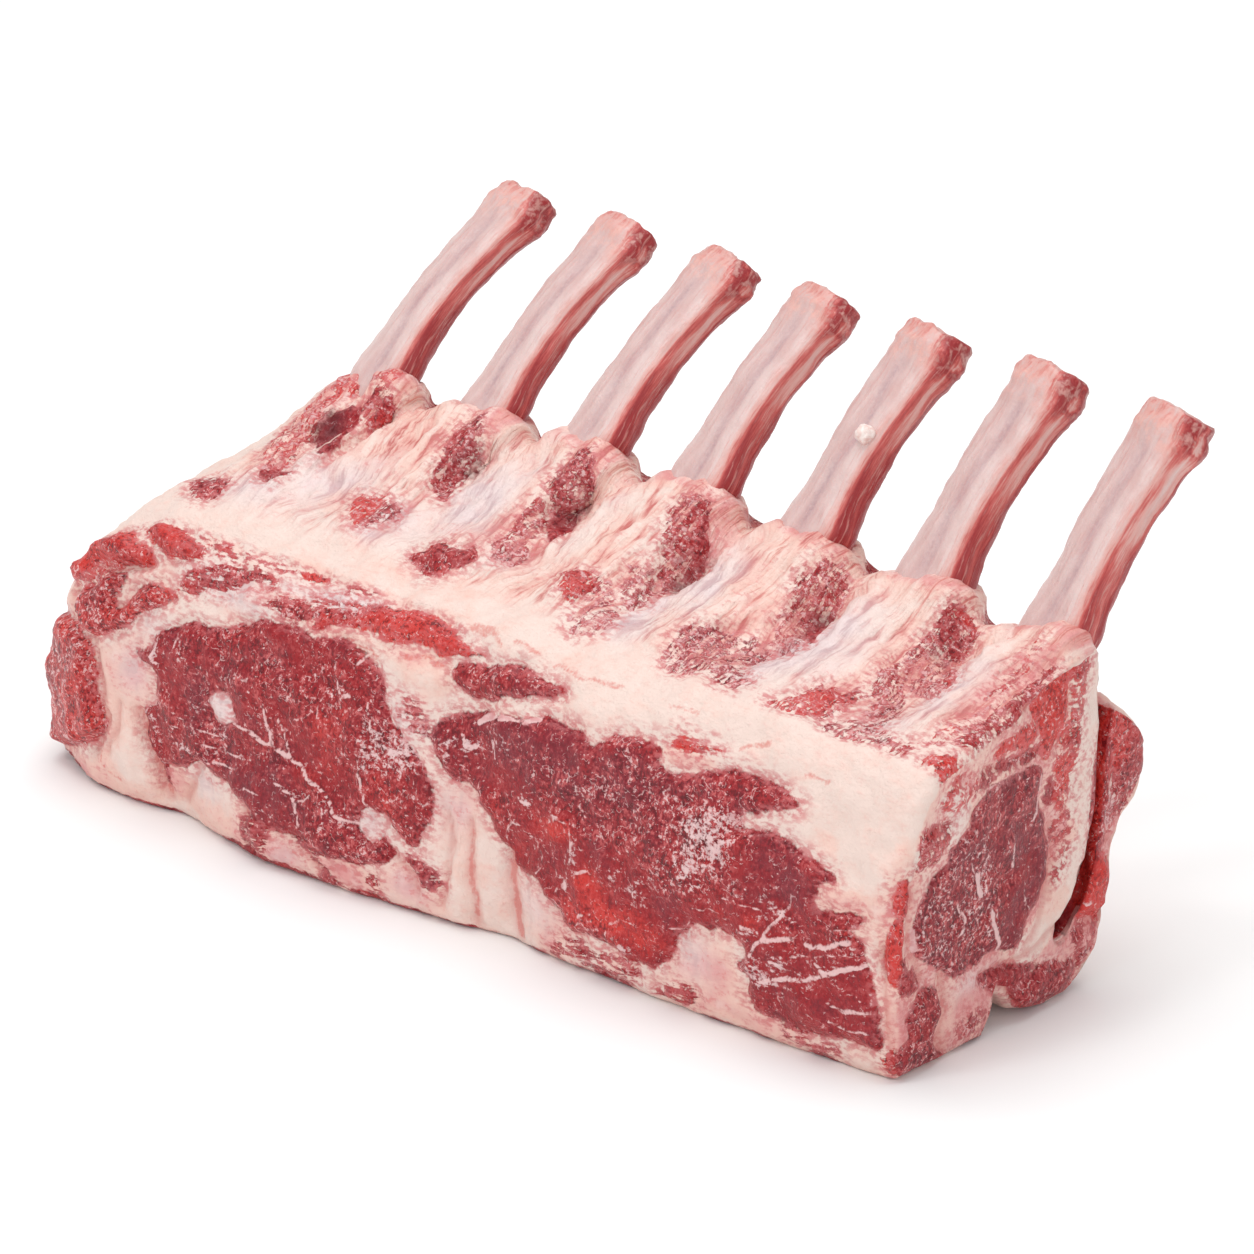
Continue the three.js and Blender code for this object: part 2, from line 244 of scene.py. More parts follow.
def outline_at(x):
    """Outline points (station, point, [y, z]) at each station."""
    rise = (rim_height(x) - RIDGE_HEIGHT)[:, None]
    to_end = smooth(FLAP_START_X, CUT_END_X, x)[:, None, None]
    cleft = smooth(CLEFT_END_X, CLEFT_WHOLE_X, x)[:, None, None]

    def blended(line):
        pairs = np.array(line, float)
        return lerp(pairs[None, :, 0], pairs[None, :, 1], to_end)

    front = blended(FRONT_LINE)
    rib_side = blended(RIB_SIDE_LINE)
    rib_side[..., 1] = RIDGE_HEIGHT + rib_side[..., 1] * rise
    along = np.linspace(0, 1, len(CLEFT_LINE))[:, None]
    closed = lerp(np.array(CLEFT_MOUTH[0]), np.array(CLEFT_MOUTH[1]), along)[None]
    closed = np.repeat(closed, len(x), axis=0)
    closed[..., 1] -= (1 - to_end[..., 0]) * (rim_height(0) - rim_height(x))[:, None]
    walls = lerp(closed, np.array(CLEFT_LINE, float)[None], cleft)
    return np.concatenate([front, rib_side, walls, blended(FLAP_LINE)], axis=1)


def outline_parts(cleft_parts):
    """How many steps each stretch of the outline takes."""
    points = outline_at(np.array([0.0, CUT_END_X]))
    lengths = np.linalg.norm(np.roll(points, -1, axis=1) - points, axis=2).max(axis=0)
    first_cleft = len(FRONT_LINE) + len(RIB_SIDE_LINE)
    last_cleft = first_cleft + len(CLEFT_LINE) - 1
    first_under = points.shape[1] - UNDER_POINTS
    parts = []
    for i, length in enumerate(lengths):
        step = FRONT_STEP
        if i >= len(FRONT_LINE):
            step = RIB_SIDE_STEP
        if i >= last_cleft:
            step = BACK_STEP
        if i >= first_under:
            step = UNDER_STEP
        if i == len(lengths) - 1:
            step = FRONT_STEP * 1.6
        in_cleft = first_cleft <= i < last_cleft
        parts.append(cleft_parts if in_cleft else max(1, math.ceil(length / step)))
    return parts


def catmull_rom(p0, p1, p2, p3, f):
    return 0.5 * (2 * p1 + (p2 - p0) * f + (2 * p0 - 5 * p1 + 4 * p2 - p3) * f ** 2
                  + (3 * p1 - p0 - 3 * p2 + p3) * f ** 3)


def sample_outline(points, parts):
    """Closed Catmull-Rom line through the outline points."""
    index = np.repeat(np.arange(len(parts)), parts)
    f = np.concatenate([np.arange(n) / n for n in parts])[None, :, None]
    count = points.shape[1]
    return catmull_rom(*(points[:, (index + k) % count] for k in (-1, 0, 1, 2)), f)


def rib_offset(x, y):
    """Distance along x from the nearest rib's axis, under the skin."""
    offsets = np.stack([x - (rib[0] + RIB_SLANT * (y - RIB_EXIT_Y)) for rib in RIBS])
    nearest = np.abs(offsets).argmin(axis=0)
    return np.take_along_axis(offsets, nearest[None], axis=0)[0]


def hollow_sum(x, y, unit_depth=1.0):
    """Depth of the hollows between the ribs, in these units."""
    total = 0
    for cx, cy, half_width, half_length, depth in HOLLOWS:
        along = (y - cy) / half_length
        across = (x - cx - RIB_SLANT * (y - cy)) / half_width
        total = total + depth / unit_depth * bell(np.hypot(along, across))
    return total


def hollow_fade(y):
    """Share of their depth that the hollows keep on the way to the rim."""
    return 1 - HOLLOW_END_FADE * smooth(*HOLLOW_END_Y, y)


def rib_side_relief(x, y):
    in_field = smooth(*RELIEF_START_Y, y) * smooth(*RELIEF_START_X, x)
    offset = np.abs(rib_offset(x, y))
    ridge = RIDGE_RISE * bell(offset / RIDGE_HALF_WIDTH) * (1 - smooth(*RIDGE_FADE_Y, y))
    web = -WEB_DIP * smooth(*WEB_OFFSET, offset) * smooth(*WEB_Y, y)
    hollow = -hollow_sum(x, y) * hollow_fade(y)
    away = smooth(*HOLLOW_OFFSET, offset - HOLLOW_CLEARANCE * smooth(-12, -5, y))
    return in_field * (ridge + web + hollow * away)


def front_relief(x, z):
    return sum(outward * bell(np.hypot((x - cx) / half_width, (z - cz) / half_height))
               for cx, cz, half_width, half_height, outward in FRONT_SWELLS)


def with_relief(x, y, z):
    """The outline's y and z with the rib side's and the long face's relief in them."""
    on_rib_side = smooth(RIDGE_HEIGHT - 3, RIDGE_HEIGHT + 2, z) * (1 - smooth(12, 15, y))
    on_front = smooth(-36, -40, y)
    up = on_rib_side * rib_side_relief(x, y)
    out = on_front * front_relief(x, z)
    return y - out - SLUMP_SHARE * np.minimum(up, 0), z + up


def cut_plane_x(z):
    """Where the leaning cut face lies at this height."""
    return CUT_END_X + CUT_END_LEAN * z / RIDGE_HEIGHT


def section_share(x):
    """Size of a section of the rounded end, as a share of a full one."""
    f = np.clip((ROUND_END_X - x) / ROUND_END_LENGTH, 0, 1)
    return (1 - f ** ROUND_END_FULLNESS) ** (1 / ROUND_END_FULLNESS)


def round_end_shift(x, y, z):
    """How far the rounded end's upper part is drawn in along x."""
    high = smooth(ROUND_END_CENTRE[1], RIM_HEIGHTS[0][1] - 8, z)
    rear = smooth(-44, RIB_EXIT_Y, y)
    near_end = smooth(*ROUND_END_PULL_X, x)
    return ROUND_END_PULL * near_end * high * lerp(ROUND_END_FRONT_PULL, 1, rear)


def sections(x, parts):
    """Rings of points (station, sample, [x, y, z])."""
    samples = sample_outline(outline_at(x), parts)
    x = x[:, None]
    y, z = with_relief(x, samples[..., 0], np.maximum(samples[..., 1], 0))
    share = section_share(x)
    centre_y, centre_z = ROUND_END_CENTRE
    height_share = np.where(z > centre_z, share, share ** ROUND_END_HEIGHT_POWER)
    y = centre_y + (y - centre_y) * share ** ROUND_END_WIDTH_POWER
    z = centre_z + (z - centre_z) * height_share
    lean = smooth(LEAN_START_X, CUT_END_X, x) * CUT_END_LEAN * (z / RIDGE_HEIGHT)
    return np.stack([x + lean + round_end_shift(x, y, z), y, np.maximum(z, 0)], axis=-1)


def nose_stations():
    """Stations of the rounded end, evenly spaced along its skin."""
    share = np.linspace(ROUND_END_LEAST, 1, 4000)
    reach = (1 - share ** ROUND_END_FULLNESS) ** (1 / ROUND_END_FULLNESS)
    x = ROUND_END_X - ROUND_END_LENGTH * reach
    half_width, height = ROUND_END_REACH
    inward = half_width * np.diff(share ** ROUND_END_WIDTH_POWER)
    steps = np.sqrt(np.diff(x) ** 2 + inward ** 2 + (height * np.diff(share)) ** 2)
    length = np.concatenate([[0], np.cumsum(steps)])
    count = math.ceil(length[-1] / (1.25 * STATION_STEP))
    return np.interp(np.linspace(0, length[-1], count + 1), length, x)


def body_stations():
    first = ROUND_END_X + STATION_STEP
    last = CUT_END_X - CUT_EDGE_RADIUS
    count = math.ceil((last - first) / STATION_STEP)
    edge = CUT_END_X - CUT_EDGE_RADIUS * CUT_EDGE_STEPS
    return np.concatenate([np.linspace(first, last, count + 1), edge])


def strip(first, second, count):
    """Quads between two equal closed rings that start at these indices."""
    i = np.arange(count)
    j = (i + 1) % count
    return np.stack([first + i, second + i, second + j, first + j], axis=1).tolist()


def widening_strip(first, second, parts_first, parts_second):
    """Faces from a ring to one that has more points in some of its stretches."""
    faces = []
    total_first, total_second = sum(parts_first), sum(parts_second)
    a, b = 0, 0
    for n_first, n_second in zip(parts_first, parts_second):
        if n_first == n_second:
            for k in range(n_first):
                faces.append([first + a + k, second + b + k, second + (b + k + 1) % total_second,
                              first + (a + k + 1) % total_first])
        else:
            for k in range(n_second):
                faces.append([first + a, second + b + k, second + b + k + 1])
            faces.append([first + a, second + b + n_second, first + a + 1])
        a += n_first
        b += n_second
    return faces


def cut_edge_inset(points, stations):
    """Rounds the edge between the long skin and the cut face: each section draws in a little."""
    depth = np.clip(CUT_END_X - stations, 0, CUT_EDGE_RADIUS)
    gap = CUT_EDGE_RADIUS - depth
    inset = CUT_EDGE_RADIUS - np.sqrt(np.maximum(CUT_EDGE_RADIUS ** 2 - gap ** 2, 0))
    for ring, amount in zip(points, inset):
        along = unit(np.roll(ring, -1, axis=0)[:, 1:] - np.roll(ring, 1, axis=0)[:, 1:])
        outward = np.stack([-along[:, 1], along[:, 0]], axis=1)
        in_cleft = smooth(3, 5, ring[:, 1]) * (1 - smooth(11, 14, ring[:, 1])) * smooth(9, 12, ring[:, 2])
        tight = np.maximum(smooth(-16, -8, ring[:, 1]), smooth(9, 4, ring[:, 2]))
        ring[:, 1:] -= outward * (amount * (1 - 0.75 * in_cleft) * (1 - 0.5 * tight))[:, None]
    return points


def inside_polygon(points, corners):
    """Even-odd test of points against a closed polygon."""
    inside = np.zeros(len(points), bool)
    for a, b in zip(corners, np.roll(corners, -1, axis=0)):
        crosses = (a[1] > points[:, 1]) != (b[1] > points[:, 1])
        slope = (b[0] - a[0]) / ((b[1] - a[1]) or 1e-12)
        inside ^= crosses & (points[:, 0] < a[0] + slope * (points[:, 1] - a[1]))
    return inside


def line_distance(points, line, closed):
    """Least distance from each point to a line of points."""
    ends = np.roll(line, -1, axis=0) if closed else line[1:]
    starts = line if closed else line[:-1]
    best = np.full(len(points), 1e9)
    for a, b in zip(starts, ends):
        d = b - a
        f = np.clip(((points - a) @ d) / max(d @ d, 1e-12), 0, 1)
        best = np.minimum(best, ((points - a - f[:, None] * d) ** 2).sum(axis=1))
    return np.sqrt(best)


def cut_face(ring):
    """Points inside the cut face and the triangles that fill it. Ring holds (y, z)."""
    low, high = ring.min(axis=0), ring.max(axis=0)
    rows = np.arange(low[1], high[1], CUT_FACE_STEP * 0.87)
    grid = []
    for r, z in enumerate(rows):
        y = np.arange(low[0] + (r % 2) * CUT_FACE_STEP / 2, high[0], CUT_FACE_STEP)
        grid.append(np.stack([y, np.full(len(y), z)], axis=1))
    grid = np.concatenate(grid)
    grid = grid[inside_polygon(grid, ring)]
    grid = grid[line_distance(grid, ring, True) > 0.6 * CUT_FACE_STEP]
    points = [Vector(p) for p in np.concatenate([ring, grid])]
    count = len(ring)
    edges = [(i, (i + 1) % count) for i in range(count)]
    found = delaunay_2d_cdt(points, edges, [], 1, 1e-6)
    source = [ids[0] for ids in found[3]]
    return grid, [[source[i] for i in face] for face in found[2]]


def meat_skin():
    """Vertices and faces of the whole skin, and which vertices lie on the cut face."""
    narrow, wide = outline_parts(1), outline_parts(CLEFT_PARTS)
    stations = np.concatenate([nose_stations(), body_stations()])
    closed = stations[stations <= CLEFT_END_X]
    opened = stations[stations > CLEFT_END_X]
    first_rings = sections(closed, narrow)
    last_rings = cut_edge_inset(sections(opened, wide), opened)
    n_narrow, n_wide = sum(narrow), sum(wide)
    vertices = np.concatenate([first_rings.reshape(-1, 3), last_rings.reshape(-1, 3)])
    faces = []
    for r in range(len(closed) - 1):
        faces += strip(r * n_narrow, (r + 1) * n_narrow, n_narrow)
    offset = len(closed) * n_narrow
    faces += widening_strip(offset - n_narrow, offset, narrow, wide)
    for r in range(len(opened) - 1):
        faces += strip(offset + r * n_wide, offset + (r + 1) * n_wide, n_wide)
    last = offset + (len(opened) - 1) * n_wide
    ring = vertices[last:]
    grid, fill = cut_face(ring[:, 1:])
    grid_x = cut_plane_x(grid[:, 1])
    start = len(vertices)
    nose = len(vertices) + len(grid)
    vertices = np.concatenate([vertices, np.column_stack([grid_x, grid]),
                               vertices[:n_narrow].mean(axis=0)[None]])
    faces += [[last + i if i < n_wide else start + i - n_wide for i in face] for face in fill]
    faces += [[nose, i, (i + 1) % n_narrow] for i in range(n_narrow)]
    on_cut = np.zeros(len(vertices))
    on_cut[last:nose] = 1
    return vertices, faces, on_cut


def vertex_normals(vertices, faces):
    triangles = np.array([[f[0], f[k], f[k + 1]] for f in faces for k in range(1, len(f) - 1)])
    a, b, c = (vertices[triangles[:, k]] for k in range(3))
    areas = np.cross(b - a, c - a)
    normals = np.zeros_like(vertices)
    for k in range(3):
        for axis in range(3):
            normals[:, axis] += np.bincount(triangles[:, k], areas[:, axis], len(vertices))
    return unit(normals)


# ---------------------------------------------------------------- patches of tissue

# A patch is (tone, marbling, depth, outline). Tone goes from 0, purple brown, over 0.5, deep red,
# to 1, bright red. Marbling is how many white flecks it has. Depth is how far inside the edge the
# patch gets solid: SOLID patches do, and a patch of next to none breaks up into mottles.
# Outlines are millimetres on the patch's chart.
SOLID = 7.0
HIDDEN_DRIFT = 7.0  # millimetres that the outlines of patches out of the photo's sight wander

FRONT_PATCHES = {  # x, z
    "left_muscle": (0.36, 0.5, SOLID, [
        (-75.8, 30), (-72.2, 31.6), (-70.6, 35), (-67.5, 36.8), (-62, 39), (-55, 39.8), (-50, 42),
        (-45, 44), (-38, 44.6), (-33, 44.4), (-25, 45), (-20.5, 43.4), (-17, 41), (-15.4, 37.5),
        (-14.4, 34), (-11, 32.8), (-7, 29), (-4.8, 26), (-4, 21.5), (-5.4, 17), (-7, 13), (-10, 13.4),
        (-13.5, 15.4), (-16.5, 17), (-18.5, 15.2), (-19.5, 13), (-17.6, 11.4), (-14, 13), (-12.4, 11),
        (-14, 8.6), (-19, 6.8), (-25, 6), (-30, 6.4), (-34, 7.8), (-39, 7.8), (-44, 8.8), (-49, 11),
        (-54, 12.4), (-59, 13.8), (-61.5, 13), (-63.5, 11), (-66.6, 10.4), (-69, 9.4), (-69.2, 5.6),
        (-70.4, 5.8), (-71.4, 9.6), (-73.4, 14), (-74, 19.5), (-71, 22), (-70.8, 27.4)]),
    "left_muscle_corner": (0.4, 0.8, 0.1, [
        (-12, 38.6), (-9, 38.8), (-6, 35), (-5, 33), (-9, 34), (-12, 35.4)]),
    "right_muscle": (0.36, 0.5, SOLID, [
        (-5.4, 35.6), (-2, 38.2), (3, 40.2), (8, 41), (15, 42.8), (23, 44), (29, 43.8), (30.6, 42.4),
        (33, 43.6), (36, 45.2), (41, 46), (45, 45.6), (45.4, 43), (48, 42.6), (52, 43.2), (55, 44.4),
        (58, 45.2), (62, 46), (66, 46), (70, 45.2), (75, 43.8), (72, 42), (67, 40.4), (63, 39),
        (64, 37.2), (68, 38), (72, 38), (76, 36.4), (80, 35.8), (83.8, 33.4), (81, 31.6), (80, 29.6),
        (81, 28.2), (85, 28.8), (89.4, 29), (88.6, 26), (90, 24.6), (90.6, 21.6), (92, 17.5), (92.8, 13),
        (93.8, 8), (92, 5), (87, 5.4), (80, 4.4), (73, 4.6), (67.6, 6), (65.5, 8), (66.4, 11),
        (64.6, 13.4), (66, 15.6), (64.6, 18), (61, 18.4), (58, 17.2), (56, 17.4), (53.6, 16.2),
        (51.4, 14), (50.4, 11.4), (48.6, 8.6), (46, 6.6), (42, 6.6), (38, 7.4), (33, 8.6), (28, 7.4),
        (25, 8.4), (24.4, 10.6), (21, 11.6), (18.6, 14), (15, 13.8), (12.2, 16), (9, 20.6), (6.4, 23.6),
        (3, 27), (1, 26.6), (-1, 27.4), (-3.4, 29.4), (-4.8, 32)]),
    "eye_chain": (0.85, 0.5, 1.2, [
        (-34.5, 45.6), (-32, 48), (-26, 49), (-22, 51.2), (-15, 52), (-8, 52.4), (-3, 50.8), (3, 49.4),
        (-1, 48.2), (-6, 47.4), (-10, 48.2), (-13, 47.6), (-17, 46.8), (-21, 47.6), (-26, 47.6),
        (-30, 46.4), (-33.6, 44.8)]),
    "lens": (0.42, 0.6, SOLID, [
        (-2.5, 46.6), (1, 47.6), (5, 48.4), (10, 49.6), (16, 49.2), (21, 48.8), (22.4, 48), (19, 46.8),
        (15, 45.8), (10, 44.6), (6, 42.4), (1, 42), (-2, 43.4)]),
    "orange_lens": (0.95, 0.3, 0.9, [
        (-49, 54), (-44, 54.8), (-40, 54.6), (-34, 53), (-33.6, 52.4), (-40, 51.6), (-43, 53), (-47, 53)]),
    "far_stripe": (0.6, 0.9, 0.5, [
        (-67, 44), (-64, 48), (-59, 50), (-52, 50.6), (-46, 50.4), (-45, 49.6), (-50, 48.6), (-54, 47.4),
        (-57, 45.6), (-60, 44.8), (-63, 44), (-66, 43.4)]),
    "mid_stripe": (0.55, 0.9, 0.6, [
        (-46, 46.6), (-42, 48), (-36, 48.4), (-31, 49), (-26, 50), (-24, 49.4), (-30, 47.6), (-34, 46.6),
        (-37, 45.4), (-42, 45.6), (-46, 45.8)]),
    "upper_stripe": (0.7, 1.0, 0.1, [
        (-66, 52.2), (-58, 52.8), (-50, 53.4), (-42, 53.8), (-36, 53.4), (-44, 52), (-54, 51.2),
        (-62, 50.8)]),
    "pale_stripe": (0.6, 1.1, 0.0, [
        (-46, 46.6), (-40, 48.6), (-33, 50), (-26, 50.6), (-22, 50.6), (-28, 49), (-36, 47.4),
        (-42, 45.8)]),
    "thin_stripe": (0.5, 0.6, 0.3, [(-31, 52.6), (-26, 53), (-23.4, 52.8), (-25.5, 51.8), (-29, 51.6)]),
    "far_top_lobe": (0.95, 0.55, SOLID, [
        (-100, 38), (-97, 43), (-92, 45.6), (-87, 47.4), (-83, 49.4), (-80, 48.6), (-76, 48.6),
        (-74.8, 46.8), (-76, 45.4), (-80, 44.8), (-84, 43.6), (-88, 42.4), (-92, 38.6), (-96, 36)]),
    "far_mid_lobe": (0.85, 0.9, 0.3, [
        (-97, 37.4), (-94, 41), (-88, 43.6), (-84, 45.4), (-82, 44), (-86, 41), (-90, 38), (-94, 36.4)]),
    "far_rim_lobe": (0.8, 0.45, 1.0, [
        (-79.5, 50.3), (-77, 52), (-73, 52.6), (-69, 52), (-64, 51), (-63.4, 50), (-67, 48.8), (-71, 48),
        (-75, 49.2)]),
    "far_lobe": (0.68, 1.1, 1.4, [
        (-93.4, 34.6), (-90, 38), (-86, 41), (-81.6, 43.6), (-79.4, 42.4), (-81.4, 38.4), (-80, 37),
        (-77, 40.4), (-74, 43), (-70, 43.4), (-66.8, 42.4), (-70, 39.6), (-74, 37.2), (-78, 34.4),
        (-82, 31.6), (-86, 30), (-90.4, 30.4)]),
    "far_side_lobe": (0.72, 1.0, 1.6, [
        (-110, 22), (-105, 27.6), (-98, 29.6), (-92, 29), (-88, 27.4), (-86.6, 24), (-86, 20),
        (-84.8, 16), (-85.2, 12), (-87.5, 9.5), (-92, 7), (-97, 4.6), (-103, 3), (-110, 6)]),
    "foot_left": (0.35, 0.5, 0.5, [(-47.6, 6.4), (-45, 9.4), (-41.6, 8.6), (-40, 6), (-43, 2), (-46.6, 3)]),
    "foot_streak": (0.35, 0.6, 0.3, [(-34.4, 7.6), (-30, 4), (-27, 0), (-24.6, 1), (-28, 5), (-30.6, 8)]),
    "foot_bit": (0.5, 0.6, 0.3, [(-18.6, 4), (-17, 5.6), (-15.4, 4), (-16.6, 1.6)]),
    "foot_lens": (0.45, 0.9, 0.15, [
        (22, 1.4), (24, 4.6), (28, 6.4), (33, 5.8), (38, 6.6), (42.4, 5.6), (41, 2.4), (36, 0.6),
        (31, 0.4), (27, 3)]),
    "foot_spot": (0.55, 0.6, 0.4, [
        (46, 2.4), (48, 4), (52, 5.4), (55, 4.8), (54.6, 2.8), (51, 1), (47.6, 1.2)]),
    "foot_right": (0.35, 0.9, 0.05, [(72.6, 4.6), (77, 3.8), (83, 3.4), (84, 1.4), (80, -1), (75, 0.6)]),
    "seam_spot": (0.3, 0.5, 0.6, [
        (-9.4, 11.4), (-6, 10.8), (-3, 9.6), (-2, 7.4), (-4, 5.8), (-7, 7.6), (-9.4, 9.4)]),
    "corner_strip": (0.84, 0.4, 1.4, [
        (93.2, 21.6), (93.8, 25), (94.8, 28.6), (98, 29), (98, 17.2), (95.4, 17.6), (94, 19.6)]),
    "corner_strip_2": (0.85, 0.3, 1.4, [(95.2, 30.4), (95.4, 34), (96, 37), (99, 37), (99, 30)]),
    "corner_low": (0.8, 0.5, 0.6, [(93, 2.6), (93.6, 5.4), (96, 6), (97, 3.4), (95, 0.6)]),
    "edge_spot": (0.95, 0.2, 0.5, [(46.6, 46.7), (49, 48), (53, 47.9), (57, 47.5), (54, 46.2), (49, 46)]),
}

RIB_SIDE_PATCHES = {  # x, y
    "hollow_1": (0.25, 0.15, SOLID, [
        (-64, -9), (-62.4, -5), (-58, -4), (-56, -8), (-56.4, -12.4), (-58, -15.4), (-61, -13)]),
    "hollow_1b": (0.6, 0.5, 0.6, [(-57.6, -4), (-56, -0.8), (-52.6, -1), (-53, -4.8), (-55.5, -5.6)]),
    "ring_1": (0.9, 0.7, 0.2, [(-66, 1), (-62, 4), (-56, 3), (-56.6, 0), (-63, -1.5)]),
    "rim_streak": (0.8, 0.9, 0.15, [
        (-73, -8), (-69.5, 2), (-65.6, 4), (-65, -5), (-63.4, -12), (-62.6, -20), (-66, -20), (-71, -15)]),
    "far_streak": (0.35, 0.3, 0.8, [(-66, -20), (-62.6, -19.4), (-60.2, -21), (-61, -23.8), (-65, -22.8)]),
    "far_spot": (0.55, 0.7, 0.6, [
        (-79, -23.6), (-74, -23.6), (-69.6, -26), (-69.8, -29.8), (-73, -30.4), (-77, -28)]),
    "hollow_2": (0.38, 0.9, 0.5, [
        (-36.2, -5.6), (-34.8, -0.6), (-32.6, 0.4), (-31, -3.6), (-30.8, -8), (-28.4, -14.4),
        (-30.4, -14.4), (-33, -12.6), (-35, -8.6)]),
    "streak_2": (0.95, 0.15, 0.5, [
        (-43.6, -21), (-40.6, -19.8), (-38, -19.2), (-37.4, -22), (-38.8, -26.2), (-41, -24.6)]),
    "streak_2b": (0.25, 0.5, 0.4, [
        (-37.6, -20.6), (-34.4, -19.6), (-33.2, -22.4), (-35.6, -24.8), (-38, -25.4)]),
    "lens_3": (0.6, 0.7, 1.0, [
        (-24.6, -28), (-22.6, -25.6), (-19, -24.6), (-16, -25), (-13.6, -23.2), (-12, -24.6),
        (-13, -27.2), (-15, -29.8), (-18, -30.4), (-21, -29.4)]),
    "hollow_3": (0.36, 0.9, 0.5, [
        (-11, -5), (-9.8, -0.2), (-7.6, 0.6), (-5.6, -2.6), (-4.6, -7), (-7, -9), (-10, -8.4)]),
    "wedge_3": (0.42, 0.5, 1.4, [(-8.6, -7.4), (-5, -8), (-1.8, -12.6), (-3.6, -15), (-7, -11.4)]),
    "trail_3": (0.6, 0.6, 0.4, [
        (-10.6, -10), (-8.6, -10.4), (-7, -14), (-8, -18), (-10.6, -19), (-11.6, -14)]),
    "fleck_3": (0.25, 1.2, 0.2, [
        (-11.6, -19.4), (-8, -17.6), (-4.6, -18), (-4.6, -21.6), (-8, -23), (-11, -21.6)]),
    "lens_4": (0.8, 0.5, 0.5, [
        (5.8, -22.8), (8, -21.2), (12, -20.4), (12.6, -22.6), (11.6, -26.4), (9.4, -26.4), (7.4, -24.8)]),
    "hollow_4": (0.42, 0.95, 0.35, [
        (14.6, -4), (16, -1), (19, 0.6), (20.4, -4), (20.8, -9), (22, -14), (19.4, -12.6), (16, -8)]),
    "wedge_4": (0.5, 0.3, 1.0, [(18.4, 0), (20.4, -1.4), (23.4, -6), (23.4, -9), (20.6, -7.6)]),
    "loop_4": (0.3, 1.3, 0.2, [
        (15.4, -14.6), (18, -13.6), (21, -15), (22.6, -19), (20.4, -22), (17.4, -20), (15.6, -17.6)]),
    "mottle_4": (0.25, 1.3, 0.0, [
        (12.6, -20.4), (17, -21.4), (20.4, -23.6), (21.6, -28), (18, -31), (14.6, -30.4), (13.6, -26)]),
    "hollow_5": (0.42, 0.95, 0.35, [
        (44, -3), (46, 0), (50, 0), (51.6, -4), (51, -9), (47.6, -10), (45, -8)]),
    "wedge_5": (0.4, 0.5, 1.2, [
        (48.8, -7.4), (52, -7.6), (54.2, -11), (55.6, -16.6), (52.8, -14.8), (50.2, -11.6)]),
    "trail_5": (0.4, 1.0, 0.0, [(46, -10), (50, -12), (54, -17), (54.6, -20), (50, -19), (46.4, -14)]),
    "mottle_5": (0.2, 1.2, 0.25, [
        (34.6, -27), (36, -23), (39, -20.8), (43, -20), (48, -19), (50.6, -22), (49, -26), (54.4, -30.4),
        (49, -32), (45, -29.6), (41, -31.4), (36.6, -31)]),
    "hollow_6": (0.52, 0.8, 0.6, [(71.8, -2), (73, 1), (77, 1), (78.8, -2.4), (77.4, -6.2), (74, -5.4)]),
    "streak_6": (0.8, 0.3, 0.5, [
        (76.8, -5), (79, -6.4), (81.4, -9.6), (83.8, -14.4), (81.2, -13), (78.6, -9.4)]),
    "mottle_6": (0.35, 1.2, 0.15, [
        (71.6, -10), (73, -5.6), (77, -6.4), (80, -10), (82.4, -14.6), (82.6, -18), (78, -16.6),
        (74, -15)]),
    "loop_6": (0.35, 1.3, 0.15, [
        (71.6, -14), (74.4, -15), (77.4, -19), (81, -24), (80.6, -27), (76, -26.4), (73, -22)]),
    "mottle_6b": (0.25, 1.2, 0.2, [
        (71.4, -32.4), (74, -29.6), (77, -27.6), (82, -29.6), (85, -32.2), (80, -34.4), (75.6, -34.2)]),
    "lens_6": (0.7, 0.7, 0.4, [
        (60.4, -32.2), (63, -29.8), (65, -26), (67, -24), (69.6, -24.6), (70.2, -22), (72, -23),
        (71.8, -27), (70.8, -30.4), (67, -33), (63.4, -33.6)]),
    "stripe_7": (0.75, 0.6, 0.15, [
        (92.2, -16), (92.2, -8), (91.8, -3), (93.4, -4), (93.6, -12), (93.2, -17)]),
    "stripe_7b": (0.5, 0.6, 0.3, [
        (95, -25), (95.4, -15), (95.6, -6), (97.4, -5), (98, -12), (98.6, -20), (97.6, -26)]),
    "stripe_7c": (0.8, 1.0, 0.0, [(91, -28), (93, -22), (94, -17), (95, -20), (95, -27), (92.6, -30)]),
    "corner_lump": (0.9, 0.5, 0.6, [(93, -34), (95.4, -30.6), (98, -29), (98.8, -33), (96.4, -36)]),
    "corner_bit": (0.6, 0.5, 0.1, [(85, -33), (88, -30.8), (90, -31.6), (88.6, -34)]),
}

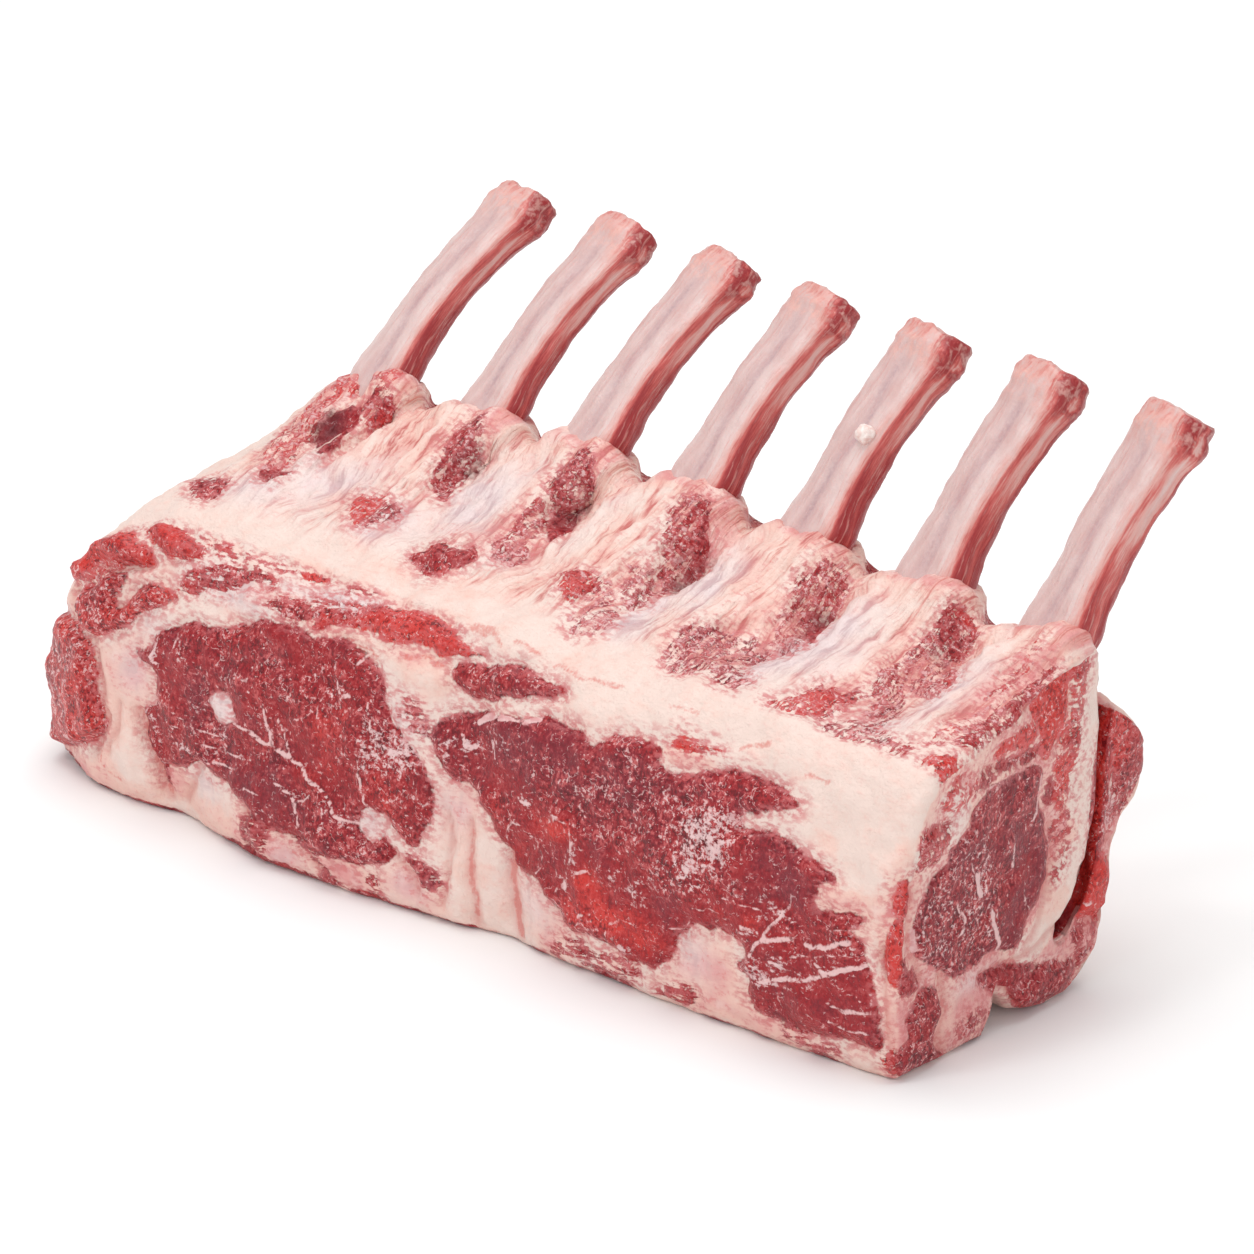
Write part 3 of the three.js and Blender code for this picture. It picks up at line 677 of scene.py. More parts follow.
CUT_PATCHES = {  # y, z
    "eye": (0.16, 0.75, SOLID, [
        (-30, 39.4), (-26, 41), (-24.6, 44), (-21, 46.6), (-16, 46.8), (-10, 46.8), (-6.2, 44.4),
        (-7, 41), (-6, 38.4), (-4.8, 35), (-3.7, 31), (-3.6, 26), (-5, 22.6), (-8, 20), (-9.4, 17),
        (-10.6, 14.4), (-14, 14.4), (-17, 15.6), (-20, 15), (-23, 14.2), (-27, 14.2), (-30, 16),
        (-33, 19), (-36.8, 21), (-38.2, 24.4), (-38.4, 27), (-37, 29), (-36.6, 32), (-34, 35),
        (-31, 36.6)]),
    "over_eye": (0.5, 0.9, 0.5, [
        (-24, 47), (-22.4, 50), (-17, 50.8), (-12, 50.4), (-7.6, 50), (-9.6, 47.6), (-16, 48)]),
    "bright_top": (1.0, 0.4, SOLID, [
        (-10.4, 59.6), (-7, 61.8), (-4, 62.4), (-1.4, 60.4), (-0.8, 56), (-1.6, 52.4), (-3, 49.6),
        (-6, 46.6), (-7.8, 48), (-8.2, 51), (-9.4, 54), (-11, 57)]),
    "bright_wedge": (1.0, 0.5, 0.8, [
        (-20.4, 52.4), (-18, 53.8), (-14, 55), (-10, 54.8), (-9.4, 51.6), (-14, 50.8), (-18, 51.2)]),
    "side_layer": (0.85, 0.9, 0.5, [
        (-3, 50), (0, 54), (1.4, 50), (2, 46), (1.4, 41), (0.8, 37.4), (-1.4, 36.2), (-3.2, 38),
        (-2.4, 42), (-3.6, 45)]),
    "small_oval": (0.3, 0.2, 0.6, [(-5.8, 40), (-4, 42.8), (-2.9, 40.5), (-3.4, 38), (-5, 38)]),
    "top_rim": (0.8, 0.7, 0.3, [(-1, 60), (0, 64), (3.4, 64), (2.6, 58), (1.8, 53), (0, 54)]),
    "front_oval": (0.36, 0.8, SOLID, [
        (-35, 15.2), (-32, 14.6), (-29.8, 11.6), (-29.8, 9), (-31.4, 6.6), (-30.8, 4), (-29.4, 0.6),
        (-33, -1), (-37, -1), (-41.6, 1), (-41.4, 5), (-38.8, 8), (-39.4, 11), (-37.4, 13.8)]),
    "flap_streak": (0.4, 0.4, 1.2, [
        (-19.8, 11.2), (-16, 12.2), (-12, 11.2), (-7, 10), (-4, 8.8), (-8, 7.2), (-12, 6.6), (-16.6, 7.8)]),
    "flap_lobe": (0.35, 0.7, 1.2, [
        (-9, 7.4), (-5, 8.4), (-1, 8.2), (4.8, 6.4), (6, 3), (2, 0.4), (-3, 1), (-9, 2), (-15, 4),
        (-14, 6)]),
    "flap_lobe_2": (0.45, 0.7, 0.4, [(4.2, 11.6), (6.4, 11.6), (9, 8.4), (9.4, 5), (6.4, 4), (5.2, 8)]),
    "cap_lobe": (0.66, 0.7, 1.0, [
        (9, 47.6), (13, 49.6), (18.4, 48), (21.4, 43), (21, 37), (18.4, 33.6), (15, 33), (12.6, 35.4),
        (13, 40), (11.4, 43)]),
    "cap_inner": (0.5, 0.5, SOLID, [
        (8, 47.4), (11, 46), (12.8, 41), (12, 36), (11, 32), (11.6, 28), (11, 23), (7, 21), (6.4, 28),
        (6.2, 36), (6.6, 44)]),
    "cap_lower": (0.95, 0.25, SOLID, [
        (6.6, 21), (8.4, 25), (11.4, 24.4), (13.8, 21), (14, 15), (12.6, 11.4), (9.6, 12), (6, 13.4),
        (3.6, 13.6), (4.6, 17)]),
    "cap_mid": (0.5, 1.1, 0.3, [
        (8.4, 25), (8.6, 35), (13, 36), (16.6, 34.6), (16, 31), (13.2, 28), (11.6, 25)]),
    "cap_foot": (0.6, 0.8, 0.0, [(6, 12), (12, 11), (12, 6), (8, 5), (6, 8)]),
    "top_left": (0.62, 0.8, 0.4, [
        (-41.6, 42), (-39, 43.8), (-35, 44.4), (-31.4, 43.4), (-31.2, 40), (-34, 37.6), (-38, 37),
        (-39.4, 40)]),
    "front_strip": (1.0, 0.1, SOLID, [
        (-44.6, 28), (-42.4, 28.4), (-41, 26), (-41.6, 22), (-42.6, 18), (-44.6, 17)]),
    "front_strip_2": (0.7, 0.4, 0.8, [
        (-44, 34), (-42, 36.4), (-40.2, 35.6), (-40, 32), (-41.2, 29.6), (-44, 30)]),
    "under_eye": (0.4, 0.6, 0.8, [
        (-42.8, 22), (-40.2, 23), (-39, 20), (-36.6, 18.8), (-35.4, 15.8), (-38.6, 14.8), (-42.4, 16.2),
        (-40.8, 18.6), (-43, 20)]),
    "top_streaks": (0.8, 0.8, 0.0, [
        (-33, 48), (-30, 51.4), (-24, 50), (-18, 50.6), (-20, 48), (-25, 46.6), (-30, 46)]),
    "side_layer_2": (0.7, 0.7, 0.0, [(-2.6, 36), (0.4, 37), (1.6, 32), (0.6, 26), (-2.4, 24), (-2.6, 30)]),
    "foot_red": (0.5, 1.0, 0.05, [(-26, 5), (-20, 6), (-16.6, 3.6), (-19, 0), (-25, -0.6)]),
}

FAR_END_PATCHES = {  # y, z: hidden side of the rounded end
    "far_eye": (0.45, 0.6, 1.6, [
        (-28, 32), (-25, 36), (-20, 35.6), (-16, 39), (-10, 38), (-5, 33), (-6, 28), (-3, 23), (-7, 18),
        (-14, 18.6), (-19, 15), (-24, 16), (-25, 21), (-29, 25)]),
    "far_cap": (0.6, 0.5, 1.0, [(4, 34), (9, 36), (11, 26), (9, 16), (5, 13), (2, 22)]),
    "far_wrap": (0.82, 0.7, 0.6, [(-48, 30), (-38, 29.5), (-34, 22), (-33, 12), (-35, 5), (-48, 4)]),
    "far_wrap_2": (0.9, 0.5, 0.6, [(-48, 47), (-38, 46), (-33, 40), (-36, 34), (-48, 34)]),
    "far_foot": (0.5, 0.5, 0.5, [(-26, 10), (-16, 11), (-4, 8), (-6, 4), (-18, 3), (-27, 5)]),
}

BACK_PATCHES = {  # x, z: hidden outer side
    "back_1": (0.6, 0.8, 0.1, [(-74, 38), (-50, 46), (-28, 44), (-20, 36), (-42, 32), (-66, 30)]),
    "back_2": (0.65, 0.8, 0.15, [(-12, 28), (12, 36), (36, 34), (44, 25), (20, 20), (-4, 22)]),
    "back_3": (0.5, 0.7, 0.3, [(52, 46), (70, 50), (90, 46), (92, 38), (74, 35), (56, 38)]),
    "back_4": (0.6, 0.7, 0.1, [(-86, 22), (-66, 25), (-48, 20), (-58, 13), (-78, 12)]),
    "back_5": (0.55, 0.7, 0.2, [(44, 16), (64, 21), (86, 18), (92, 10), (68, 7), (50, 9)]),
    "back_6": (0.7, 0.6, 0.0, [(-20, 60), (10, 62), (40, 58), (44, 52), (12, 54), (-18, 53)]),
}

# White veins: (width, line) on the same charts.
FRONT_VEINS = [
    (0.85, [(-50, 24.4), (-44, 23.2), (-38, 22), (-34, 20.9), (-30, 19), (-27, 17), (-25.5, 14.6)]),
    (0.8, [(-25.5, 14.6), (-21, 14), (-17.5, 13)]),
    (0.8, [(-42.6, 29.4), (-42, 26.6), (-40.4, 23)]),
    (0.78, [(-39.4, 28.4), (-38, 25.4), (-36.6, 22.6)]),
    (0.75, [(-38.6, 16.4), (-35, 15), (-33.4, 13), (-32, 10.4)]),
    (0.6, [(-34.4, 14.2), (-32, 15), (-31, 16)]),
    (0.5, [(-48, 13.4), (-45, 13), (-42, 13.6)]),
    (0.5, [(-53, 18), (-50, 17.6), (-48, 18.6)]),
    (0.9, [(-70.6, 36), (-69.6, 33), (-70.4, 31), (-68.6, 29.6)]),
    (0.6, [(-63.4, 35), (-63, 33), (-61, 32.6)]),
    (0.6, [(-58.4, 32), (-57, 29), (-56.6, 26)]),
    (0.5, [(-48.4, 34), (-47, 32.4), (-46, 33.4)]),
    (0.45, [(-36, 28.6), (-34, 29.4), (-31, 31.6)]),
    (0.8, [(-26, 38), (-25, 36), (-22.6, 37)]),
    (0.7, [(-22.4, 42), (-20.6, 43.6)]),
    (0.6, [(-19, 36), (-17.6, 32), (-16.6, 30)]),
    (0.8, [(-20.4, 24), (-19, 21), (-17.6, 17), (-15, 14), (-11, 11), (-8.6, 8)]),
    (0.5, [(-8, 26), (-6, 20), (-7.4, 17), (-10, 16)]),
    (1.1, [(4.4, 38.6), (6.4, 39.8), (8.6, 41)]),
    (0.9, [(10, 41.2), (14, 42), (18.4, 43)]),
    (0.9, [(1, 35.4), (2.4, 33.4), (5, 34.6)]),
    (0.7, [(8, 38), (9.6, 36), (10.4, 33.6)]),
    (0.9, [(16.4, 28.6), (18.6, 28.2)]),
    (0.6, [(29, 35), (30, 31.6), (32, 29.6)]),
    (0.5, [(22.4, 26), (25, 28.2)]),
    (0.7, [(28.6, 25), (28.4, 22), (28, 21)]),
    (0.7, [(32, 20.4), (30, 19.6)]),
    (0.8, [(27.4, 17.6), (26.8, 16)]),
    (0.6, [(30, 12), (31, 12.8), (32, 12.6)]),
    (1.1, [(39.4, 8.6), (40.6, 9.4)]),
    (0.5, [(36, 10), (37, 12.4)]),
    (0.8, [(66.4, 20.4), (68.2, 21)]),
    (0.6, [(62, 25.6), (68, 25), (70, 25.4), (74, 25.6), (75.6, 29)]),
    (0.75, [(68, 16), (69.6, 19), (72.6, 23), (74, 25.4)]),
    (0.75, [(69.4, 19.6), (73, 20.4), (77, 21.4), (80, 21)]),
    (0.8, [(78.4, 21), (83, 22.4), (88, 24.4)]),
    (0.9, [(81, 18.4), (83.4, 17.4), (86, 18.6), (90.4, 21)]),
    (0.8, [(70, 12.6), (74, 13.6), (79, 15), (83, 17)]),
    (0.5, [(86, 16), (88, 14.6), (90, 14)]),
    (0.75, [(84, 12), (88, 11.8), (92, 13)]),
    (0.6, [(84, 9), (88, 8.4), (92, 9)]),
    (0.5, [(76, 18.6), (80, 19.4), (85, 21.6), (89, 22)]),
    (0.5, [(83, 24.8), (86, 26), (89, 26.4)]),
    (0.55, [(12.8, 20), (13.4, 22.8), (16, 24), (19.6, 22.8), (21.2, 19.6), (20, 16.4)]),
    (0.55, [(22.4, 27), (24.6, 28.8), (28, 27.2), (29, 24.4)]),
    (0.5, [(24.4, 20), (25.6, 16.6), (24.4, 13.4)]),
    (0.5, [(30.6, 11.8), (29.6, 9.4), (30.6, 7.2)]),
    (0.5, [(37, 12.4), (40, 14.4), (44, 14.2), (47, 16)]),
    (0.55, [(43.2, 22.6), (42.4, 20), (43.4, 17.4)]),
    (0.45, [(50, 15.4), (53, 16.4), (55, 18.8)]),
    (0.45, [(52, 22.2), (56, 21.4), (60, 21.8), (64, 20.6)]),
    (0.5, [(-69, 22.4), (-64, 21.4), (-58, 20.6), (-52, 21.2)]),
    (0.45, [(-66, 19.6), (-60, 18), (-54, 17.6)]),
    (0.5, [(-62, 15.6), (-56, 15.2), (-50, 16), (-46, 15.4)]),
    (0.45, [(-30.4, 40), (-29, 36), (-30, 32), (-28.6, 28)]),
    (0.45, [(-24, 33), (-22.4, 29), (-22.8, 24.6)]),
    (0.5, [(-66, 38), (-64.6, 35.6), (-65.6, 33)]),
    (0.45, [(76, 3.6), (82, 3.8), (88, 6)]),
    (0.7, [(72, 16.6), (75, 16)]),
    (0.35, [(-95, 23), (-96.6, 18), (-98.6, 14)]),
    (0.4, [(-93, 21), (-95, 16), (-99, 12), (-103, 9)]),
]
CUT_VEINS = [
    (1.0, [(-18.6, 23.6), (-17.4, 20), (-15.8, 15.4)]),
    (1.2, [(-22.6, 31.4), (-21.8, 27.6)]),
    (0.5, [(-10.8, 27), (-9.8, 22.6), (-8.6, 20.6)]),
    (0.7, [(-14, 34.4), (-13.4, 30)]),
    (0.35, [(-13.2, 21), (-12.4, 17.4)]),
    (1.1, [(-39, 34), (-38.8, 28), (-37.6, 23)]),
    (0.7, [(-28, 28), (-26, 25), (-27, 22)]),
    (0.5, [(-33, 33), (-30, 31), (-29, 33)]),
    (0.5, [(-24, 38), (-24.6, 34), (-22, 31)]),
    (0.9, [(-7.4, 44), (-6.6, 40), (-8.6, 36.6)]),
    (0.6, [(-22, 46.4), (-16, 47.2), (-10, 47)]),
    (0.8, [(6.6, 17.6), (6.8, 16), (8, 16.4)]),
]
# Thin red lines in the fat: (width, line).
FRONT_CAPILLARIES = [
    (0.5, [(-2, 52.6), (2, 52.8), (5.4, 52)]),
    (0.5, [(8, 52.6), (14, 51.8)]),
    (0.45, [(18, 51.8), (26, 51.2), (33, 51.8)]),
    (0.4, [(44, 51), (50, 51.3)]),
    (0.5, [(74, 48.2), (79, 48.8)]),
    (0.5, [(-28, 45.6), (-22, 44.8), (-18, 43.4)]),
    (0.5, [(60, 49), (66, 50.6)]),
    (0.5, [(-13, 46), (-8, 46.6), (-5, 46)]),
    (0.7, [(3.2, 18.6), (3.6, 14), (4.4, 9), (4.8, 3)]),
    (0.9, [(11.8, 17), (12.3, 10), (12.4, 4), (13.8, 0)]),
    (0.6, [(-75, 19), (-72.6, 11), (-69.6, 4)]),
    (0.5, [(-86, 10), (-84.6, 6), (-80, 4)]),
]
# Grooves in the fat between the two big muscles of the long face.
FRONT_GROOVES = [
    (0.8, [(3, 20), (3.6, 14), (4.4, 9), (5, 1)]),
    (1.0, [(11.8, 17), (12.3, 10), (12.4, 4), (14, -1)]),
    (0.6, [(-1.4, 20), (-0.6, 12), (-2, 4)]),
    (1.2, [(-86.4, 27), (-84.6, 18), (-85, 12), (-88, 8)]),
    (0.9, [(-75.6, 19), (-72.6, 11), (-69.6, 3)]),
    (0.6, [(-84, 9), (-81, 14), (-80, 19)]),
    (1.0, [(-95, 35), (-92, 31), (-87, 29)]),
    (0.8, [(-96, 40), (-88, 42.4), (-82, 44.4), (-76, 46)]),
    (0.7, [(-60, 14), (-62, 9), (-66, 4)]),
    (0.9, [(-46.6, 9), (-45, 5), (-46, 1)]),
    (0.9, [(-33, 7), (-29, 3), (-27, -1)]),
    (0.8, [(-14, 11), (-9.4, 8.6), (-7, 5)]),
    (0.9, [(93.6, 24), (94.4, 14), (94.8, 5)]),
]
CUT_GROOVES = [
    (1.0, [(-39.4, 35), (-39.6, 28), (-38, 21.6), (-35, 17)]),
    (0.9, [(-19.6, 12), (-12, 11.6), (-5, 13.6), (0, 14.6)]),
    (0.8, [(-30, 15.4), (-28.8, 10), (-30, 5), (-28.6, 0)]),
    (0.7, [(-3, 34), (-2.6, 27), (-5, 20), (-9, 14)]),
    (0.9, [(5.4, 23), (9, 25.4), (13, 26)]),
    (0.8, [(3, 13), (7, 12.4), (12, 12)]),
    (0.6, [(-11, 49), (-16, 49.4), (-22, 50.6)]),
]

# Soft tints: (x, z or y, half width, half height, change).
FRONT_TONES = [
    (44, 12, 7, 5, 0.34), (25, 26, 5, 3, 0.5), (28, 11, 4, 4, 0.34), (33, 19, 6, 3, 0.44),
    (16, 20, 4, 3, 0.34), (36, 13, 5, 4, 0.4), (12, 26, 5, 4, 0.26), (62, 22, 8, 2.4, 0.26),
    (82, 23, 8, 3, 0.2), (48, 19, 5, 3, -0.2), (78, 31, 8, 5, -0.16), (85, 10, 8, 3, -0.16),
    (40, 39, 12, 5, -0.16), (-58, 15, 8, 4, -0.12), (-26, 30, 5, 9, 0.2), (20, 37, 26, 6, -0.26),
    (-62, 33, 12, 8, -0.06), (-40, 13, 12, 6, -0.2), (-12, 20, 6, 6, 0.25), (-26, 26, 8, 8, 0.12),
    (72, 32, 10, 5, -0.1), (84, 12, 12, 8, 0.12), (86, 26, 4, 3, 0.3), (-88, 18, 3, 8, 0.1),
    (-16, 49, 6, 2, 0.15),
]
FRONT_MARBLING = [
    (57, 34, 5, 5, 1.3), (54, 26, 5, 4, 1.0), (47, 38, 5, 3, 0.5), (-12, 29, 6, 4, 0.9),
    (-50, 36, 14, 5, 0.25), (36, 34, 14, 7, 0.35), (66, 41, 5, 3, 0.4), (-68, 22, 6, 3, 0.3),
    (-20, 11, 8, 4, 0.3), (74, 18, 10, 6, 0.2), (30, 20, 14, 8, -0.55), (80, 16, 14, 8, -0.77),
    (-42, 12, 8, 4, -1.1), (-68, 30, 6, 5, -0.88), (10, 31, 6, 3, -0.77), (16, 19, 4, 3, -1.1),
    (72, 30, 8, 4, -1.1), (62, 22, 8, 3, -0.88), (48, 19, 5, 2.5, -0.99), (46, 10, 5, 4, -0.99),
    (82, 11, 9, 3, -0.88), (-40, 42, 6, 2, -0.66), (26, 41, 5, 3, -0.66), (-32, 24, 5, 4, -0.77),
    (24, 25, 4, 3, -0.66),
]
FRONT_PINK = [
    (74, 50, 26, 6, -0.6), (-70, 54, 16, 5, -0.5), (88, 40, 8, 8, -0.3), (-76, 26, 5, 8, 0.8),
    (-83, 18, 3, 10, 0.35), (-67, 7, 5, 3, 0.7), (-36, 3, 6, 4, 0.8), (-22, 4, 6, 3, 0.9),
    (-9, 5, 6, 4, 0.9), (0, 22, 5, 5, 0.7), (22, 6, 4, 5, 0.9), (58, 10, 9, 6, 0.75), (66, 3, 12, 3, 0.6),
    (86, 31, 5, 4, 0.6), (-8, 42, 5, 3, 0.35), (-11, 46, 4, 1.5, 0.8), (96, 20, 3, 25, 0.5),
    (-90, 2, 12, 3, 0.8), (-50, 3, 8, 3, 0.5), (51, 45, 5, 1.4, 0.8), (-30, 46, 6, 1.4, 0.8),
    (-99, 33, 6, 3, 0.3), (-46, 47.4, 9, 1.2, 0.8), (-20, 52.4, 10, 0.9, 0.6), (-60, 52.4, 7, 1.2, 0.5),
    (-40, 53.4, 6, 1, 0.6),
]
FRONT_LILAC = [
    (-52.6, 26, 6, 5, 0.9), (-18, 14, 4, 4, 0.8), (-100, 26, 6, 3, 0.6), (-76, 27, 4, 5, 0.6),
    (-12, 35, 5, 4, 0.6), (-1, 22, 5, 6, 0.45), (17, 9, 6, 5, 0.6), (57, 34, 6, 7, 0.9),
    (54, 12, 5, 5, 0.6), (-58, 10, 4, 3, 0.6), (-55, 47.5, 9, 2, 0.8), (-25, 51, 7, 1.5, 0.7),
    (-36, 3, 5, 4, 0.35), (-9, 5, 5, 4, 0.4), (-72, 36, 4, 3, 0.5), (-52, 44.8, 8, 1.5, 0.6),
    (-34, 49.8, 10, 1.3, 0.8),
]
FRONT_FILM = [  # thin whitish film on the lean: x, z, half width, half height, share
    (56, 35, 5, 3.6, 1.0), (60, 32, 3, 2.4, 0.9), (54.5, 28, 4, 3.4, 0.85), (47.5, 38.5, 3, 2, 0.6),
    (63, 38, 4, 1.6, 0.8), (46.6, 23, 2.4, 2, 0.6), (42.6, 20, 1.8, 1.8, 0.6), (33, 8, 4, 2, 0.8),
    (40, 8.6, 2, 2, 0.9), (24.4, 10.6, 2, 2, 0.8), (17.6, 28.6, 1.8, 1.2, 0.9), (28.4, 22, 1.4, 2, 0.7),
    (26.8, 17, 1.6, 2, 0.7), (37, 21, 5, 2, 0.45), (9.4, 37, 3, 2, 0.7), (3, 33.6, 3, 2, 0.7),
    (-1.4, 32, 1.6, 5, 0.4), (74, 25.4, 2.4, 1.6, 0.8), (73.6, 16.6, 2, 1.6, 0.9), (84, 18, 3, 1.6, 0.6),
    (68, 20.6, 2, 1.4, 0.8), (71, 13, 4, 1.8, 0.8), (68, 14, 4, 3, 0.45), (78, 15, 3, 1.4, 0.6),
    (66, 27, 5, 2, 0.4), (-12, 29, 6, 3.4, 0.85), (-8, 33, 4, 3, 0.8), (-20, 25, 2, 3, 0.5),
    (-7, 19, 3, 5, 0.4), (-18, 30, 2, 6, 0.5), (-70, 33, 1.6, 4, 0.8), (-72, 20, 3, 4, 0.7),
    (-62, 15.4, 3, 1.6, 0.7), (-58.4, 24, 3, 1.2, 0.6), (-63, 34, 2, 2, 0.5), (-52.6, 21.6, 2, 1.6, 0.7),
    (-50, 18.4, 5, 1.6, 0.35), (-35, 14, 4, 1.6, 0.5), (-26, 36, 2.6, 2.4, 0.5), (-44, 10, 6, 1.4, 0.5),
    (-22, 14, 5, 1.6, 0.5), (88, 24, 3, 5, 0.3), (-101, 18, 7, 10, 0.4), (-88, 38, 7, 4, 0.35),
    (-92, 24, 4, 5, 0.4),
]
CUT_FILM = [
    (-6, 56, 5, 6, 0.7), (-24, 27, 3, 8, 0.6), (-32, 30, 3, 6, 0.55), (-36.6, 26, 2, 6, 0.8),
    (-21, 31, 2, 5, 0.7), (-28, 21, 6, 4, 0.5), (-18, 20, 2.4, 4, 0.7), (-19, 27, 2, 4, 0.6),
    (-7, 37, 3, 2, 0.6), (-12, 31, 1.6, 4, 0.4), (-26, 37, 4, 4, 0.45), (13, 33, 4, 5, 0.8),
    (-33, 19, 3, 3, 0.5), (-14, 15, 6, 1.2, 0.6), (-17, 45.6, 5, 1.4, 0.4),
]
CUT_MARBLING = [
    (-9, 27, 5, 9, -0.75), (-12, 19, 4, 5, -0.75), (-30, 26, 8, 7, 0.25), (-13, 38, 7, 3, -0.3),
]
CUT_TONES = [
    (-15, 42, 9, 5, 0.16), (-12, 20, 6, 6, 0.06),
]
CUT_LILAC = [
    (-31, 45, 4, 4, 0.3), (-22, 12, 6, 2, 0.6), (-34, 30, 3, 8, 0.4), (12, 33, 3, 5, 0.5),
]
CUT_PINK = [
    (-1, 20, 5, 6, 0.6), (0.6, 31, 2, 3, 0.8), (-22, 8, 7, 4, 0.7), (-40, 10, 4, 8, 0.5),
    (19, 44, 3, 5, 1.0), (12, 30, 3, 4, 0.8), (6, 10, 5, 3, 0.6), (-27, 36, 4, 3, 0.4),
    (-6, 55, 8, 8, 0.3),
]
RIB_SIDE_LILAC = [  # x, y, half width, half length, change
    (-64, -26.5, 9, 3, 0.95), (-54, -21, 7, 4, 0.9), (-47, -16, 6, 4, 0.7), (-57, -17, 5, 4, 0.5),
    (-33, -22, 7, 3.2, 0.9), (-36, -27, 6, 1.8, 0.7), (-24, -12, 5, 8, 1.0), (-19, -16, 4.5, 6, 0.9),
    (-17, -8, 3, 6, 0.6), (-8, -22.5, 5, 3, 0.5), (3, -4, 2.5, 4, 0.4), (1, -14, 3, 6, 0.4),
    (24, -18, 3, 8, 1.0), (29, -12, 4, 8, 1.0), (33, -15, 2.6, 7, 0.8), (24, -26, 4, 4, 0.8),
    (27, -6, 1.6, 4, 0.7), (54, -21, 4, 6, 1.0), (57, -14, 4, 8, 0.9), (61, -12, 4, 8, 0.6),
    (60, -22, 5, 5, 0.6), (52, -27, 3, 4, 0.7), (66, -15, 2.5, 5, 0.5), (84, -14, 3, 8, 0.8),
    (86, -20, 3, 5, 0.9), (80, -28, 5, 3, 0.9), (88, -12, 3, 7, 0.5),
]
RIB_SIDE_PINK = [
    (-66, -6, 5, 8, 0.6), (-70, -16, 5, 6, 0.6), (-53, -7, 3, 8, 0.5), (-43, -10, 4, 7, 0.5),
    (-46, -22, 4, 3, 0.5), (-18, -21.5, 6, 2.5, 0.6), (-12, -13, 1.6, 6, 0.5), (0, -9, 5, 7, 0.2),
    (9, -14, 4, 7, 0.3), (3, -23, 6, 3, 0.35), (22, -3, 3.6, 5, 0.9), (38, -12, 3, 8, 0.5),
    (34, -23, 3, 4, 0.3), (42, -12, 3, 6, 0.4), (48, -14, 3, 5, 0.5), (70, -10, 2.5, 6, 0.5),
    (79, -16, 4, 6, 0.6), (66, -24, 4, 3, 0.5), (91, -14, 2.6, 8, 0.7), (94, -20, 3, 8, 0.7),
    (96, -4, 3, 6, 0.8), (64, -34, 36, 4, -0.5), (-64, -33, 14, 4, -0.5),
]
# How far a patch stands up above the tissue round it, where that isn't the usual rise.
RISES = {
    "left_muscle": 0.8, "right_muscle": 0.8, "lens": 0.6, "eye_chain": 0.7, "far_top_lobe": 2.2,
    "far_rim_lobe": 1.6, "far_lobe": 2.2, "far_side_lobe": 2.0, "foot_left": 0.8, "foot_lens": 0.9,
    "foot_spot": 0.8, "eye": 0.5, "cap_lobe": 1.3, "cap_inner": 0.5, "cap_lower": 1.2, "flap_lobe": 1.4,
    "flap_lobe_2": 0.9, "front_oval": 1.1, "top_left": 0.9, "under_eye": 0.9, "front_strip_2": 0.6,
    "corner_lump": 1.0, "lens_3": 0.9, "lens_4": 0.8, "lens_6": 0.9, "wedge_3": -0.3, "wedge_5": -0.4,
    "hollow_1": -0.6,
}
USUAL_RISE = 0.35
CUT_RIDGES = [  # width, line: pale strips that stand out of the cut end
    (3.4, [(2.6, 63), (3.6, 52), (4.4, 42), (4.2, 32), (1.8, 24), (-2, 18), (-7, 13.4)]),
    (2.2, [(-40.6, 40), (-41.6, 33), (-41.6, 27)]),
    (2.4, [(-31, 48), (-28, 44.6), (-30, 41)]),
]
LUMP = (-53, 25.8, 3.4, 3.0)  # white lump in the left muscle: x, z, half width, half height
WHITE_LUMP = (-18.2, 14.4, 2.0, 2.2)

SPLINE_PARTS = 5  # steps between two given points
FLANK_OFFSET = 9.5  # from a rib's axis to the flank where the streaks turn
REAR_RIM_LEAST_Z = 55.0
# A hollow this deep gets the full painted shade.
FULL_HOLLOW = 5.0  # depth at which a hollow is darkest
REACH = 7.0  # no distance to a patch is needed past this


def spline(points, closed):
    """Even Catmull-Rom line through given points."""
    points = np.array(points, float)
    if not closed:
        points = np.concatenate([[2 * points[0] - points[1]], points, [2 * points[-1] - points[-2]]])
    count = len(points) if closed else len(points) - 3
    start = 0 if closed else 1
    index = start + np.repeat(np.arange(count), SPLINE_PARTS)
    f = np.tile(np.arange(SPLINE_PARTS) / SPLINE_PARTS, count)[:, None]
    line = catmull_rom(*(points[(index + k) % len(points)] for k in (-1, 0, 1, 2)), f)
    return line if closed else np.concatenate([line, points[-2:-1]])


def signed_distance(points, outline):
    """Millimetres inside the outline, negative outside."""
    line = spline(outline, True)
    result = np.full(len(points), -REACH)
    low, high = line.min(axis=0) - REACH, line.max(axis=0) + REACH
    near = ((points > low) & (points < high)).all(axis=1)
    if near.any():
        distance = line_distance(points[near], line, True)
        sign = np.where(inside_polygon(points[near], line), 1, -1)
        result[near] = np.clip(sign * distance, -REACH, REACH)
    return result


